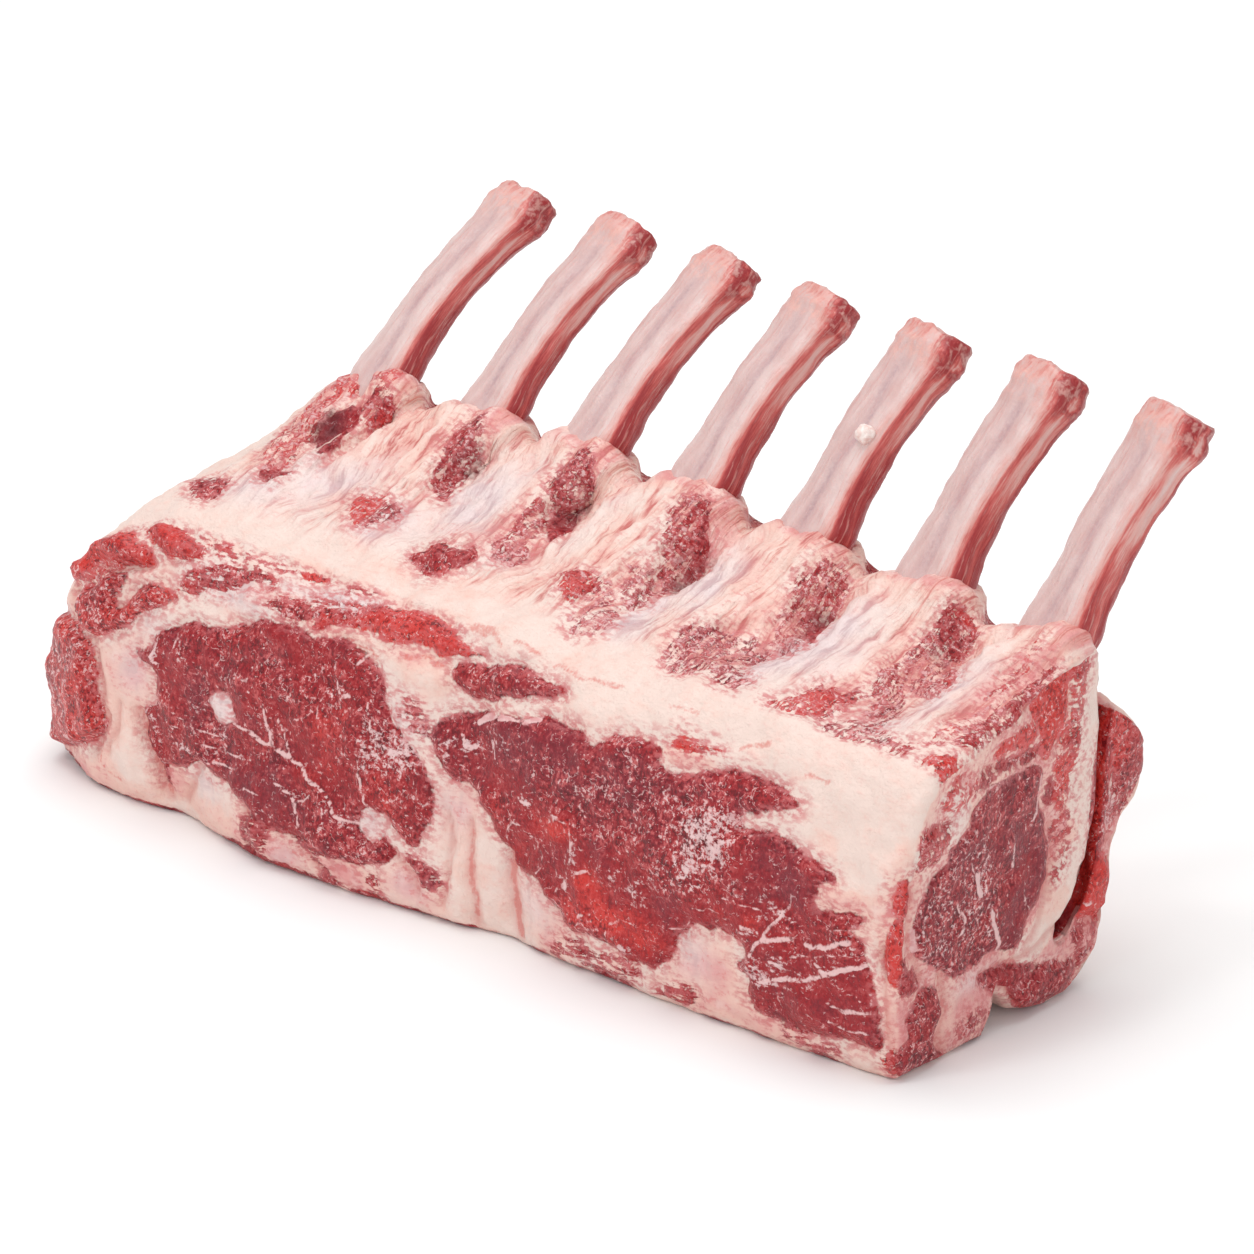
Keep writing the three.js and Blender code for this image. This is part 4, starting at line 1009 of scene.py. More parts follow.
def patch_fields(points, patches):
    """Signed distance to the nearest patch's edge, with that patch's tone, marbling and raggedness,
    and how far it stands up."""
    lean = np.full(len(points), -REACH)
    weights = np.full(len(points), 1e-9)
    tone = 0.5 * weights
    marbling = 0.5 * weights
    ragged = 0.5 * weights
    rise = np.zeros(len(points))
    for name, (patch_tone, patch_marbling, depth, outline) in patches.items():
        inside = signed_distance(points, outline)
        lean = np.maximum(lean, np.minimum(inside, depth))
        weight = np.exp(1.5 * inside)
        weights += weight
        tone += weight * patch_tone
        marbling += weight * patch_marbling
        ragged += weight * smooth(1.6, 0.2, depth)
        rise += RISES.get(name, USUAL_RISE) * smooth(-0.4, 2.6, inside)
    return lean, tone / weights, marbling / weights, ragged / weights, rise


def line_fields(points, lines):
    """Millimetres inside the widest of these lines, negative outside."""
    best = np.full(len(points), -REACH)
    for width, line in lines:
        path = spline(line, False)
        low, high = path.min(axis=0) - REACH, path.max(axis=0) + REACH
        near = ((points > low) & (points < high)).all(axis=1)
        if near.any():
            inside = 0.5 * width ** 1.6 - line_distance(points[near], path, False)
            best[near] = np.maximum(best[near], inside)
    return best


def tint(points, blobs):
    """Sum of soft round changes."""
    return sum(change * bell(np.hypot((points[:, 0] - cx) / half_width, (points[:, 1] - cy) / half_height))
               for cx, cy, half_width, half_height, change in blobs)


def chart_weights(vertices, normals, on_cut):
    """How far each vertex belongs to the long face, rib side, outer back, underside and the ends."""
    nx, ny, nz = normals.T
    rear = smooth(0.1, 0.6, ny) * smooth(8, 13, vertices[:, 1])
    under = smooth(0.35, 0.75, -nz) * (1 - rear)
    far = smooth(0.6, 0.85, -nx) * (1 - under)
    upward = np.maximum(smooth(-0.3, 0.3, nz + ny), smooth(48, 52, vertices[:, 2]))
    top = upward * smooth(-37, -33.5, vertices[:, 1]) * (1 - rear) * (1 - under) * (1 - far)
    front = np.clip(1 - rear - under - top - far, 0, 1)
    weights = np.stack([front, top, rear, under, far])
    weights = weights / weights.sum(axis=0) * (1 - on_cut)
    return dict(zip(("front", "top", "rear", "under", "far", "cut"), [*weights, on_cut]))


def rib_distance(vertices):
    """Millimetres from each vertex to the nearest rib's surface, negative inside it."""
    best = np.full(len(vertices), 20.0)
    near = vertices[:, 1] > -14
    points = vertices[near]
    found = best[near]
    for rib in RIBS:
        centre, _, side, inner, half_width, half_depth = rib_frame(rib, np.linspace(0, 1, 40))
        away = ((points[:, None, :] - centre[None]) ** 2).sum(axis=2)
        k = away.argmin(axis=1)
        offset = points - centre[k]
        across = np.abs((offset * side[k]).sum(axis=1)) / half_width[k]
        through = np.abs((offset * inner[k]).sum(axis=1)) / half_depth[k]
        size = (across ** RIB_SQUARENESS + through ** RIB_SQUARENESS) ** (1 / RIB_SQUARENESS)
        found = np.minimum(found, (size - 1) * half_depth[k])
    best[near] = found
    return best


def chart_line(points, share, lines):
    """Line fields where a chart is in use, far outside elsewhere."""
    result = np.full(len(points), -REACH)
    used = share > 0.5
    result[used] = line_fields(points[used], lines)
    return result


def blob(x, y, place, wander):
    """Millimetres inside a round lump's wavy outline, negative outside."""
    cx, cy, half_width, half_height = place
    return (1 - np.hypot((x - cx) / half_width, (y - cy) / half_height)) * half_width + 1.6 * wander


def strand_place(x, y, z):
    """Coordinates that follow the rib side's streaks: across them, along them, and up."""
    from_flank = (rib_offset(x, y) + FLANK_OFFSET + RIB_SPACING / 2) % RIB_SPACING - RIB_SPACING / 2
    slant = lerp(-RIB_SLANT, 0.3, bell(from_flank / 6.0) * smooth(-28, -20, y))
    return np.stack([x + slant * (y + 10), y, z], axis=1)


class Skin:
    """The meat's vertices, and the charts on which its patches, lines and tints are drawn."""

    def __init__(self, vertices, faces, on_cut):
        self.vertices = vertices
        self.x, self.y, self.z = vertices.T
        self.normals = vertex_normals(vertices, faces)
        self.weight = chart_weights(vertices, self.normals, on_cut)
        self.from_rib = rib_distance(vertices)
        self.strands = strand_place(self.x, self.y, self.z)
        self.wander = np.stack([self.noise(11, 4.0, 3), self.noise(12, 4.0, 3)], axis=1)
        self.front_place = np.stack([self.x, self.z], axis=1)
        self.side_place = np.stack([self.x, self.y], axis=1)
        self.cut_place = np.stack([self.y, self.z], axis=1)
        self.front_drawn = self.front_place + self.wander
        self.side_drawn = self.side_place + self.wander
        self.cut_drawn = self.cut_place + 0.8 * self.wander

    def noise(self, seed, size, octaves):
        return Noise(seed)(self.vertices, size, octaves)

    def front_tint(self, blobs):
        return self.weight["front"] * tint(self.front_place, blobs)

    def cut_tint(self, blobs):
        return self.weight["cut"] * tint(self.cut_place, blobs)


def patch_totals(skin):
    """Lean, tone, marbling, raggedness and rise, from the patches of every chart."""
    drift = np.stack([skin.noise(13, 14.0, 2), skin.noise(14, 14.0, 2)], axis=1)
    charts = [
        ("front", skin.front_drawn, FRONT_PATCHES),
        ("top", skin.side_drawn, RIB_SIDE_PATCHES),
        ("cut", skin.cut_drawn, CUT_PATCHES),
        ("far", skin.cut_drawn + 0.5 * HIDDEN_DRIFT * drift, FAR_END_PATCHES),
        ("rear", skin.front_drawn + HIDDEN_DRIFT * drift, BACK_PATCHES),
    ]
    under = skin.weight["under"]
    totals = [share * under for share in (9 * skin.noise(21, 13.0, 3) - 0.4, 0.5, 0.6, 0.6, 0)]
    for name, points, patches in charts:
        used = skin.weight[name] > 0.01
        for total, value in zip(totals, patch_fields(points[used], patches)):
            total[used] += skin.weight[name][used] * value
    return totals


def drawn_lines(skin):
    """How far each vertex lies inside the drawn veins, thin red lines, grooves, ridges and lumps."""
    front, cut = skin.weight["front"], skin.weight["cut"]
    veins = (chart_line(skin.front_drawn, front, FRONT_VEINS), chart_line(skin.cut_drawn, cut, CUT_VEINS))
    grooves = (chart_line(skin.front_drawn, front, FRONT_GROOVES),
               chart_line(skin.cut_drawn, cut, CUT_GROOVES))
    lumps = [blob(skin.x, skin.z, place, skin.wander[:, k]) for k, place in enumerate((LUMP, WHITE_LUMP))]
    lump, white_lump = np.where(front > 0.5, lumps, -REACH)
    return {
        "vein": np.maximum(*veins),
        "capillary": chart_line(skin.front_drawn, front, FRONT_CAPILLARIES),
        "groove": np.maximum(*grooves),
        "ridge": chart_line(skin.cut_drawn, cut, CUT_RIDGES),
        "lump": lump,
        "any_lump": np.maximum(lump, white_lump),
    }


def rib_feet(skin):
    """Collars round the bare ribs' feet, ledges beside them, webs behind them and the sunk rear rim."""
    y, from_rib, up = skin.y, skin.from_rib, skin.normals[:, 2]
    collar = bell((from_rib - 0.7) / 1.3) * smooth(-3, 3, y)
    ledge = smooth(4.0, 0.5, from_rib) * smooth(-9, -4, y) * smooth(6.0, 3.0, y)
    ledge = ledge * smooth(0.5, 4.0, rib_offset(skin.x, y)) * skin.weight["top"]
    web = smooth(-5, 3, y) * smooth(-0.2, 0.5, up) * smooth(2.0, 6.0, from_rib) * (1 - smooth(8, 18, y))
    rear_rim = smooth(1.5, 4.5, y) * smooth(-0.3, 0.3, up) * smooth(1.5, 4.0, from_rib)
    rear_rim = rear_rim * smooth(16, 12, y) * (skin.z > REAR_RIM_LEAST_Z)
    return collar, ledge, web, rear_rim


def pink_share(skin, on_ribs, ridge, web):
    """How pink the fat is."""
    y, weight = skin.y, skin.weight
    pink = on_ribs * (0.14 + 0.32 * smooth(-8, 4, y)) + weight["top"] * tint(skin.side_place, RIB_SIDE_PINK)
    pink = pink + weight["front"] * (0.1 + tint(skin.front_place, FRONT_PINK))
    pink = pink + weight["cut"] * (0.65 - 0.9 * smooth(-1.2, 0.4, ridge) + tint(skin.cut_place, CUT_PINK))
    pink = pink + 0.45 * weight["rear"] + 0.4 * weight["under"] + 0.5 * weight["far"]
    pink = pink + 0.5 * skin.noise(42, 9.0, 3)
    pink = pink + 0.9 * web * smooth(0, 5, y)
    return pink + 0.6 * weight["top"] * bell((skin.from_rib - 0.2) / 0.8) * smooth(-3, 2, y)


def tissue_fields(skin, lines, feet):
    """What the material reads at each vertex, with the hollows' depth and the patches' rise."""
    x, y, z = skin.x, skin.y, skin.z
    top, cut = skin.weight["top"], skin.weight["cut"]
    _, _, web, rear_rim = feet
    cleft, cap_side = cleft_share(x, y, z)
    lean, tone, marbling, ragged, rise = patch_totals(skin)
    film = skin.front_tint(FRONT_FILM) + 0.6 * cut * tint(skin.cut_place, CUT_FILM) + 0.4 * top * ragged

    lean = np.minimum(lean, -lines["any_lump"])
    cleft_lean = smooth(0, 0.35, np.maximum(cleft, cap_side))
    lean = np.maximum(lean, -REACH + (REACH + 2) * cleft_lean)
    lean = np.maximum(lean, -REACH + (REACH + 0.2) * smooth(0, 0.6, rear_rim))
    ragged = np.clip(np.maximum(ragged, rear_rim), 0, 1)
    tone = tone + skin.front_tint(FRONT_TONES) + skin.cut_tint(CUT_TONES)
    tone = tone + 0.3 * skin.noise(31, 9.0, 2) + 0.3 * smooth(0, 0.5, cleft)
    marbling = marbling + skin.front_tint(FRONT_MARBLING) + skin.cut_tint(CUT_MARBLING)
    marbling = marbling + 0.7 * skin.noise(32, 6.0, 2)

    on_ribs = top * smooth(-32, -26, y) * smooth(-76, -68, x)
    lilac = top * tint(skin.side_place, RIB_SIDE_LILAC) * (0.8 + 0.7 * skin.noise(41, 4.0, 2))
    lilac = lilac + skin.front_tint(FRONT_LILAC) + skin.cut_tint(CUT_LILAC)
    hollow = np.clip(hollow_sum(x, y, FULL_HOLLOW), 0, 1) * hollow_fade(y) * top
    # Painted shade: the deeper a hollow between the ribs, the darker its colour; down in the cleft it darkens
    # as well, below.
    painted_recess_shade = np.clip(hollow * 1.2 - 0.5 + 0.5 * skin.noise(43, 3.0, 2), 0, 1) * top
    fields = {
        "lean": lean, "tone": np.clip(tone, 0, 1), "marbling": np.clip(marbling, 0, 1.8),
        "vein": lines["vein"], "ragged": ragged, "capillary": lines["capillary"],
        "pink": np.clip(pink_share(skin, on_ribs, lines["ridge"], web), 0, 1.2),
        "lilac": np.clip(lilac, 0, 1), "painted_recess_shade": np.maximum(painted_recess_shade, 0.75 * cleft), "rib_side": on_ribs,
        "strand": Noise(54)(skin.strands, (1.7, 14.0, 5.0), 3),
        "groove": smooth(-0.9, 0.3, lines["groove"]), "film": np.clip(film, 0, 1),
    }
    return fields, hollow, rise


def skin_relief(skin, fields, lines, feet, hollow, rise):
    """Millimetres that each vertex moves out along its normal."""
    y, z = skin.y, skin.z
    lean, ragged = fields["lean"], fields["ragged"]
    collar, ledge, web, rear_rim = feet
    flesh = smooth(-0.4, 0.4, lean)
    amount = rise - 0.5 * bell(lean / 0.9) * (1 - 0.6 * ragged)
    amount += 0.2 * smooth(-0.2, 0.2, lines["vein"]) + 0.4 * smooth(-1, 1.6, lines["lump"])
    amount -= 1.2 * smooth(-1.8, 0.4, lines["groove"])
    amount += 1.1 * smooth(-0.6, 1.0, lines["ridge"])
    amount += 1.7 * skin.noise(51, 12.0, 2) + 0.7 * skin.noise(52, 4.0, 2)
    amount += (0.16 + 0.25 * ragged + 0.16 * flesh) * skin.noise(53, 1.5, 2)
    amount += 0.7 * skin.weight["cut"] * skin.noise(57, 5.0, 2)
    strands = 0.9 * fields["rib_side"] * fields["strand"] * (1 - 0.5 * flesh)
    amount += strands * (1 - 0.75 * smooth(-7, -1, y)) * smooth(-31, -23, y)
    rough_flesh = ragged * flesh * skin.weight["top"]
    amount += (hollow + 0.9 * rough_flesh) * skin.noise(55, 2.0, 2)
    edge = 1 - smooth(0, 2.2, np.abs(cut_plane_x(z) - skin.x))
    amount += 0.9 * collar * (1 - edge) - 1.3 * web + 2.3 * ledge - 1.2 * rear_rim
    amount *= 1 - 0.65 * in_cleft(skin.x, y, z)
    amount *= 1 - 0.35 * edge
    return amount * lerp(0.3, 1, smooth(0, 2.5, z))


def dress_meat(vertices, faces, on_cut):
    """The skin moved by its relief, with what the material reads and the way its streaks run."""
    skin = Skin(vertices, faces, on_cut)
    lines, feet = drawn_lines(skin), rib_feet(skin)
    fields, hollow, rise = tissue_fields(skin, lines, feet)
    amount = skin_relief(skin, fields, lines, feet, hollow, rise)
    moved = vertices + skin.normals * amount[:, None]
    moved[:, 2] = np.maximum(moved[:, 2], 0)
    along_face = np.stack([skin.z - 0.1 * skin.x, skin.x, skin.y], axis=1)
    flow = np.where((skin.weight["front"] > 0.5)[:, None], along_face, skin.strands)
    return moved, fields, flow


def cleft_centre(z):
    return np.interp(z, CLEFT_CENTRE_Z, CLEFT_CENTRE_Y)


def in_cleft(x, y, z):
    """How far a point lies between the two walls of the cleft."""
    open_share = smooth(CLEFT_END_X, CLEFT_WHOLE_X, x)
    return open_share * bell((y - cleft_centre(z)) / 2.4) * smooth(9, 12, z)


def cleft_share(x, y, z):
    """How far a point lies down in the cleft, and on its wall towards the cap."""
    between = in_cleft(x, y, z)
    cap_side = smooth(-0.4, 0.4, y - cleft_centre(z))
    return between * smooth(0.6, 2.5, cut_plane_x(z) - x), between * cap_side * smooth(14, 18, z)


# ---------------------------------------------------------------- the ribs

def centripetal(points, t):
    """Point of a centripetal Catmull-Rom curve through four points, t from 0 to 1."""
    points = [np.array(p, float) for p in points]
    padded = [2 * points[0] - points[1], *points, 2 * points[-1] - points[-2]]
    position = np.clip(t, 0, 1) * (len(points) - 1)
    segment = np.minimum(position.astype(int), len(points) - 2)
    result = np.zeros((len(t), 3))
    for k in range(len(points) - 1):
        chosen = segment == k
        p0, p1, p2, p3 = padded[k:k + 4]
        d0, d1, d2 = (max(np.linalg.norm(b - a), 1e-4) ** 0.5 for a, b in ((p0, p1), (p1, p2), (p2, p3)))
        t1 = ((p1 - p0) / d0 - (p2 - p0) / (d0 + d1) + (p2 - p1) / d1) * d1
        t2 = ((p2 - p1) / d1 - (p3 - p1) / (d1 + d2) + (p3 - p2) / d2) * d1
        f = (position[chosen] - k)[:, None]
        result[chosen] = (p1 + t1 * f + (-3 * p1 + 3 * p2 - 2 * t1 - t2) * f ** 2
                          + (2 * p1 - 2 * p2 + t1 + t2) * f ** 3)
    return result


def rib_frame(rib, t):
    """A rib's path: centre, tangent, side, inner direction, half width and half depth at each t."""
    x, tip, width, bulge = rib
    rim = float(rim_height(x))
    surface = lerp(RIDGE_HEIGHT, rim, (RIB_ROOT_Y - RIDGE_Y) / (RIB_EXIT_Y - RIDGE_Y))
    root = np.array([x + RIB_SLANT * (RIB_ROOT_Y - RIB_EXIT_Y), RIB_ROOT_Y, surface - RIB_ROOT_DEPTH])
    leaves = np.array([x, RIB_EXIT_Y, rim - RIB_EXIT_DEPTH])
    tip = np.array(tip)
    middle = (leaves + tip) / 2 + bulge * math.sqrt(0.5) * np.array([0, -1, 1])
    points = [root, leaves, middle, tip]
    centre = centripetal(points, t)
    tangent = unit(centripetal(points, t + 1e-4) - centripetal(points, t - 1e-4))
    side = unit(np.stack([tangent[:, 1], -tangent[:, 0], np.zeros(len(t))], axis=1))
    inner = unit(np.cross(side, tangent))
    swell = look_up(RIB_PROFILE, t)
    half_width = 0.5 * width * swell
    half_depth = 0.5 * width * RIB_THICKNESS * (0.4 + 0.6 * swell)
    return centre, tangent, side, inner, half_width, half_depth


# Half widths of the bare ribs: share of the way to the tip, size.
RIB_LEFT = [
    (0, 0.5), (0.2, 0.75), (0.3, 1.1), (0.36, 1.16), (0.6, 1.06), (0.9, 1.04), (1, 1.02),
]
RIB_RIGHT = [
    (0, 0.5), (0.2, 0.7), (0.3, 1.04), (0.4, 1.2), (0.52, 1.06), (0.67, 1.0), (0.83, 1.08), (0.93, 1.24),
    (1, 1.14),
]
RIB_REDNESS = (0.08, 0.0, 0.04, 0.0, 0.08, 0.0, -0.1)  # more or less red on each rib's right side
RIB_SIDES = 52
RIB_RINGS = 104
TIP_RINGS = [(0.985, 0.25), (0.93, 0.55), (0.8, 0.75), (0.6, 0.8), (0.35, 0.75), (0.12, 0.7)]  # size, reach


def rib_skin(rib):
    """A rib's fine skin and its length, with where each vertex lies across, through and along it."""
    t = np.linspace(0, 1, RIB_RINGS)
    centre, tangent, side, inner, half_width, half_depth = rib_frame(rib, t)
    half_width = half_width / look_up(RIB_PROFILE, t)
    half_depth = half_depth * lerp(0.5, 1, smooth(0.05, 0.3, t))
    left, right = look_up(RIB_LEFT, t), look_up(RIB_RIGHT, t)
    angle = 2 * np.pi * np.arange(RIB_SIDES) / RIB_SIDES
    across, through = (np.sign(f) * np.abs(f) ** (2 / RIB_SQUARENESS) for f in (np.cos(angle), np.sin(angle)))
    length = np.concatenate([[0], np.cumsum(np.linalg.norm(np.diff(centre, axis=0), axis=1))])
    rings = [(1.0, 0.0, r) for r in range(RIB_RINGS)]
    rings += [(size, reach, RIB_RINGS - 1) for size, reach in TIP_RINGS]
    vertices, place = [], []
    for size, reach, r in rings:
        sideways = size * half_width[r] * across * np.where(across < 0, left[r], right[r])
        inward = size * half_depth[r] * through
        vertices.append(centre[r] + reach * tangent[r] + sideways[:, None] * side[r]
                        + inward[:, None] * inner[r])
        place.append(np.column_stack([size * across, size * through, np.full(RIB_SIDES, t[r]),
                                      np.full(RIB_SIDES, length[r] + reach)]))
    faces = []
    for r in range(len(rings) - 1):
        faces += strip(r * RIB_SIDES, (r + 1) * RIB_SIDES, RIB_SIDES)
    tip = [(len(rings) - 1) * RIB_SIDES + i for i in range(RIB_SIDES)]
    faces += [tip[::-1], list(range(RIB_SIDES))]
    return np.concatenate(vertices), faces, np.concatenate(place), length[-1]


def rib_mesh(rib, seed, redness):
    """A rib's skin moved by its relief, with what the material reads and coordinates along the bone."""
    vertices, faces, place, length = rib_skin(rib)
    normals = -vertex_normals(vertices, [face[::-1] for face in faces])  # faces read backwards, turned out
    a, b, along, reach = place.T  # -1 to 1 from left to right and from back to front, share, millimetres
    noise = Noise(seed)
    flow = np.column_stack([a * 6, b * 4, reach])
    middle = np.zeros_like(along)
    groove_place = 0.1 + 0.28 * noise(np.column_stack([middle, middle, reach]), 16.0, 2)
    bare = smooth(0.28, 0.4, along) * (1 - smooth(0.86, 0.94, along))
    groove = bell((a - groove_place) / 0.13) * smooth(0.3, 0.8, b) * bare
    right = smooth(0.6, 0.95, a)
    side_face = smooth(0.75, 0.95, a)
    knob = smooth(0.84, 0.96, along)
    low = 1 - smooth(0.3, 0.8, along)
    facet = 1 - np.hypot((b - 0.05) / 0.45, (length - reach - 2.9) / 2.2)
    facet = np.where(a > 0.5, facet, -1.0)
    foot = smooth(0.3, 0.9, a) * (1 - smooth(0.34, 0.74, along))

    amount = 0.45 * noise(vertices, 7.0, 2) + 0.16 * noise(vertices, 1.8, 2)
    amount += 0.4 * foot
    amount -= 0.42 * groove
    amount += 0.4 * right * noise(flow, (2.2, 1.3, 14.0), 3) * (1 - knob)
    amount -= 0.55 * right * bell(b / 0.7) * (1 - knob)
    amount += knob * (0.8 * noise(vertices, 2.8, 3) + 0.35 * bell((along - 0.95) / 0.03))
    amount -= 0.3 * smooth(0.0, 0.5, facet)

    red = 0.44 * smooth(0.35, 0.98, a) * (0.75 + 0.35 * low) + (redness + 0.34 + 0.2 * low) * side_face
    red += (0.12 * bell((a - 0.88) / 0.25) * smooth(0.0, 0.6, b)
            - 0.3 * side_face * bell((b - 0.1) / 0.4) * (1 - 0.8 * low))
    red += 0.3 * smooth(0.92, 1.0, -a) + 0.6 * smooth(-0.1, -0.8, b) + 0.22 * smooth(0.93, 1.0, along)
    red += 0.2 * knob * np.abs(a) ** 2
    red += 0.25 * bell(facet / 0.25) * (a > 0.5) - 0.18 * smooth(0.1, 0.4, facet) + 0.16 * knob
    fields = {"red": np.clip(red, 0, 1), "groove": groove, "knob": knob}
    return vertices + normals * amount[:, None], faces, fields, flow


# ---------------------------------------------------------------- materials

class Graph:
    """Short names for the nodes of one material."""

    def __init__(self, name):
        self.material = bpy.data.materials.new(name)
        self.material.use_nodes = True
        self.tree = self.material.node_tree
        self.shader = self.tree.nodes["Principled BSDF"]
        coordinates = self.tree.nodes.new("ShaderNodeTexCoord")
        scaled = self.tree.nodes.new("ShaderNodeVectorMath")
        scaled.operation = "SCALE"
        scaled.inputs["Scale"].default_value = 1 / MM
        self.tree.links.new(coordinates.outputs["Object"], scaled.inputs[0])
        self.place = scaled.outputs["Vector"]

    def put(self, socket, value):
        if isinstance(value, bpy.types.NodeSocket):
            self.tree.links.new(value, socket)
        elif isinstance(value, (tuple, list)) and socket.type == "RGBA":
            socket.default_value = (*value, 1.0)
        else:
            socket.default_value = value

    def surface(self, **inputs):
        """Sets inputs of the shader: coat_weight sets Coat Weight."""
        for name, value in inputs.items():
            title = name.replace("_", " ").title().replace("Ior", "IOR")
            self.put(self.shader.inputs[title], value)

    def field(self, name, kind="Fac"):
        node = self.tree.nodes.new("ShaderNodeAttribute")
        node.attribute_type = "GEOMETRY"
        node.attribute_name = name
        return node.outputs[kind]

    def math(self, operation, a, b=0.0):
        node = self.tree.nodes.new("ShaderNodeMath")
        node.operation = operation
        self.put(node.inputs[0], a)
        self.put(node.inputs[1], b)
        return node.outputs[0]

    def add(self, first, *others):
        for other in others:
            first = self.math("ADD", first, other)
        return first

    def mul(self, first, *others):
        for other in others:
            first = self.math("MULTIPLY", first, other)
        return first

    def swing(self, value, size):
        """Noise of 0 to 1 turned into a change of up to half this size either way."""
        return self.mul(self.add(value, -0.5), size)

    def step(self, value, start, stop, low=0.0, high=1.0):
        node = self.tree.nodes.new("ShaderNodeMapRange")
        node.interpolation_type = "SMOOTHSTEP"
        for socket, number in zip(("Value", "From Min", "From Max", "To Min", "To Max"),
                                  (value, start, stop, low, high)):
            self.put(node.inputs[socket], number)
        return node.outputs["Result"]

    def stretched(self, place, size):
        node = self.tree.nodes.new("ShaderNodeMapping")
        node.vector_type = "TEXTURE"
        self.put(node.inputs["Vector"], place)
        node.inputs["Scale"].default_value = size
        return node.outputs["Vector"]

    def noise(self, place, size, detail, rough, warp=0.0):
        """Noise with grains of this size in millimetres, or of three sizes along the axes of place."""
        if isinstance(size, tuple):
            place = self.stretched(place, size)
            size = 1.0
        node = self.tree.nodes.new("ShaderNodeTexNoise")
        self.put(node.inputs["Vector"], place)
        node.inputs["Scale"].default_value = 1 / size
        node.inputs["Detail"].default_value = detail
        node.inputs["Roughness"].default_value = rough
        node.inputs["Distortion"].default_value = warp
        return node.outputs["Fac"]

    def mix(self, factor, a, b):
        node = self.tree.nodes.new("ShaderNodeMix")
        node.data_type = "RGBA"
        node.clamp_factor = True
        self.put(node.inputs["Factor"], factor)
        self.put(node.inputs[6], a)
        self.put(node.inputs[7], b)
        return node.outputs[2]

    def bump(self, height, distance, strength):
        node = self.tree.nodes.new("ShaderNodeBump")
        self.put(node.inputs["Height"], height)
        node.inputs["Distance"].default_value = distance * MM
        node.inputs["Strength"].default_value = strength
        self.tree.links.new(node.outputs["Normal"], self.shader.inputs["Normal"])


def shade(red, green, blue):
    """A linear colour from screen values of 0 to 255."""
    values = np.array([red, green, blue]) / 255
    linear = np.where(values <= 0.04045, values / 12.92, ((values + 0.055) / 1.055) ** 2.4)
    return tuple(float(v) for v in linear)


# Lean, from dark to light, and what lies on it.
PURPLE = shade(132, 34, 46)
DEEP_RED = shade(156, 28, 35)
BRIGHT_RED = shade(206, 52, 45)
FLESH_SHADOW = shade(86, 10, 20)
FLESH_LIGHT = shade(204, 98, 98)
FLECK = shade(236, 196, 194)
FILM = shade(232, 202, 201)
SMEAR = shade(206, 122, 124)
# Painted shade, laid over the dark red lean in the hollows between the ribs and down in the cleft.
RECESS_SHADE = shade(92, 14, 22)
# Fat and membrane.
CREAM = shade(236, 212, 202)
# Painted highlight for the fat.
PAINTED_FAT_HIGHLIGHT = shade(244, 224, 216)
PEACH = shade(237, 196, 183)
PINK = shade(222, 150, 148)
LILAC = shade(232, 212, 212)
GREY_VIOLET = shade(176, 140, 146)
# Ridges of the rib side's streaks: their paler fat with painted highlight on it.
STREAK_RIDGE_FAT_AND_HIGHLIGHT = shade(246, 222, 212)
STREAK_PINK = shade(226, 162, 152)
STREAK_RED = shade(190, 88, 86)
HAIR = shade(206, 118, 110)
FRINGE = shade(206, 116, 118)
BLUSH = shade(220, 134, 130)
CAPILLARY = shade(216, 110, 100)
# Grooves in the fat: the seam's own pink with painted shade in it.
GROOVE_SEAM_AND_SHADE = shade(206, 122, 116)
CRUMB_LIGHT = shade(248, 236, 230)
CRUMB_SHADE = shade(236, 206, 198)
# Bone.
BONE = shade(224, 198, 194)
BONE_SHADE = shade(211, 176, 172)
BONE_STREAK = shade(206, 148, 144)
BONE_VEIN = shade(170, 132, 140)
BONE_PINK = shade(220, 164, 156)
BONE_RED = shade(200, 90, 84)
BONE_DARK = shade(154, 28, 33)
BONE_THREAD = shade(228, 168, 158)
BONE_CRUMB = shade(238, 198, 186)


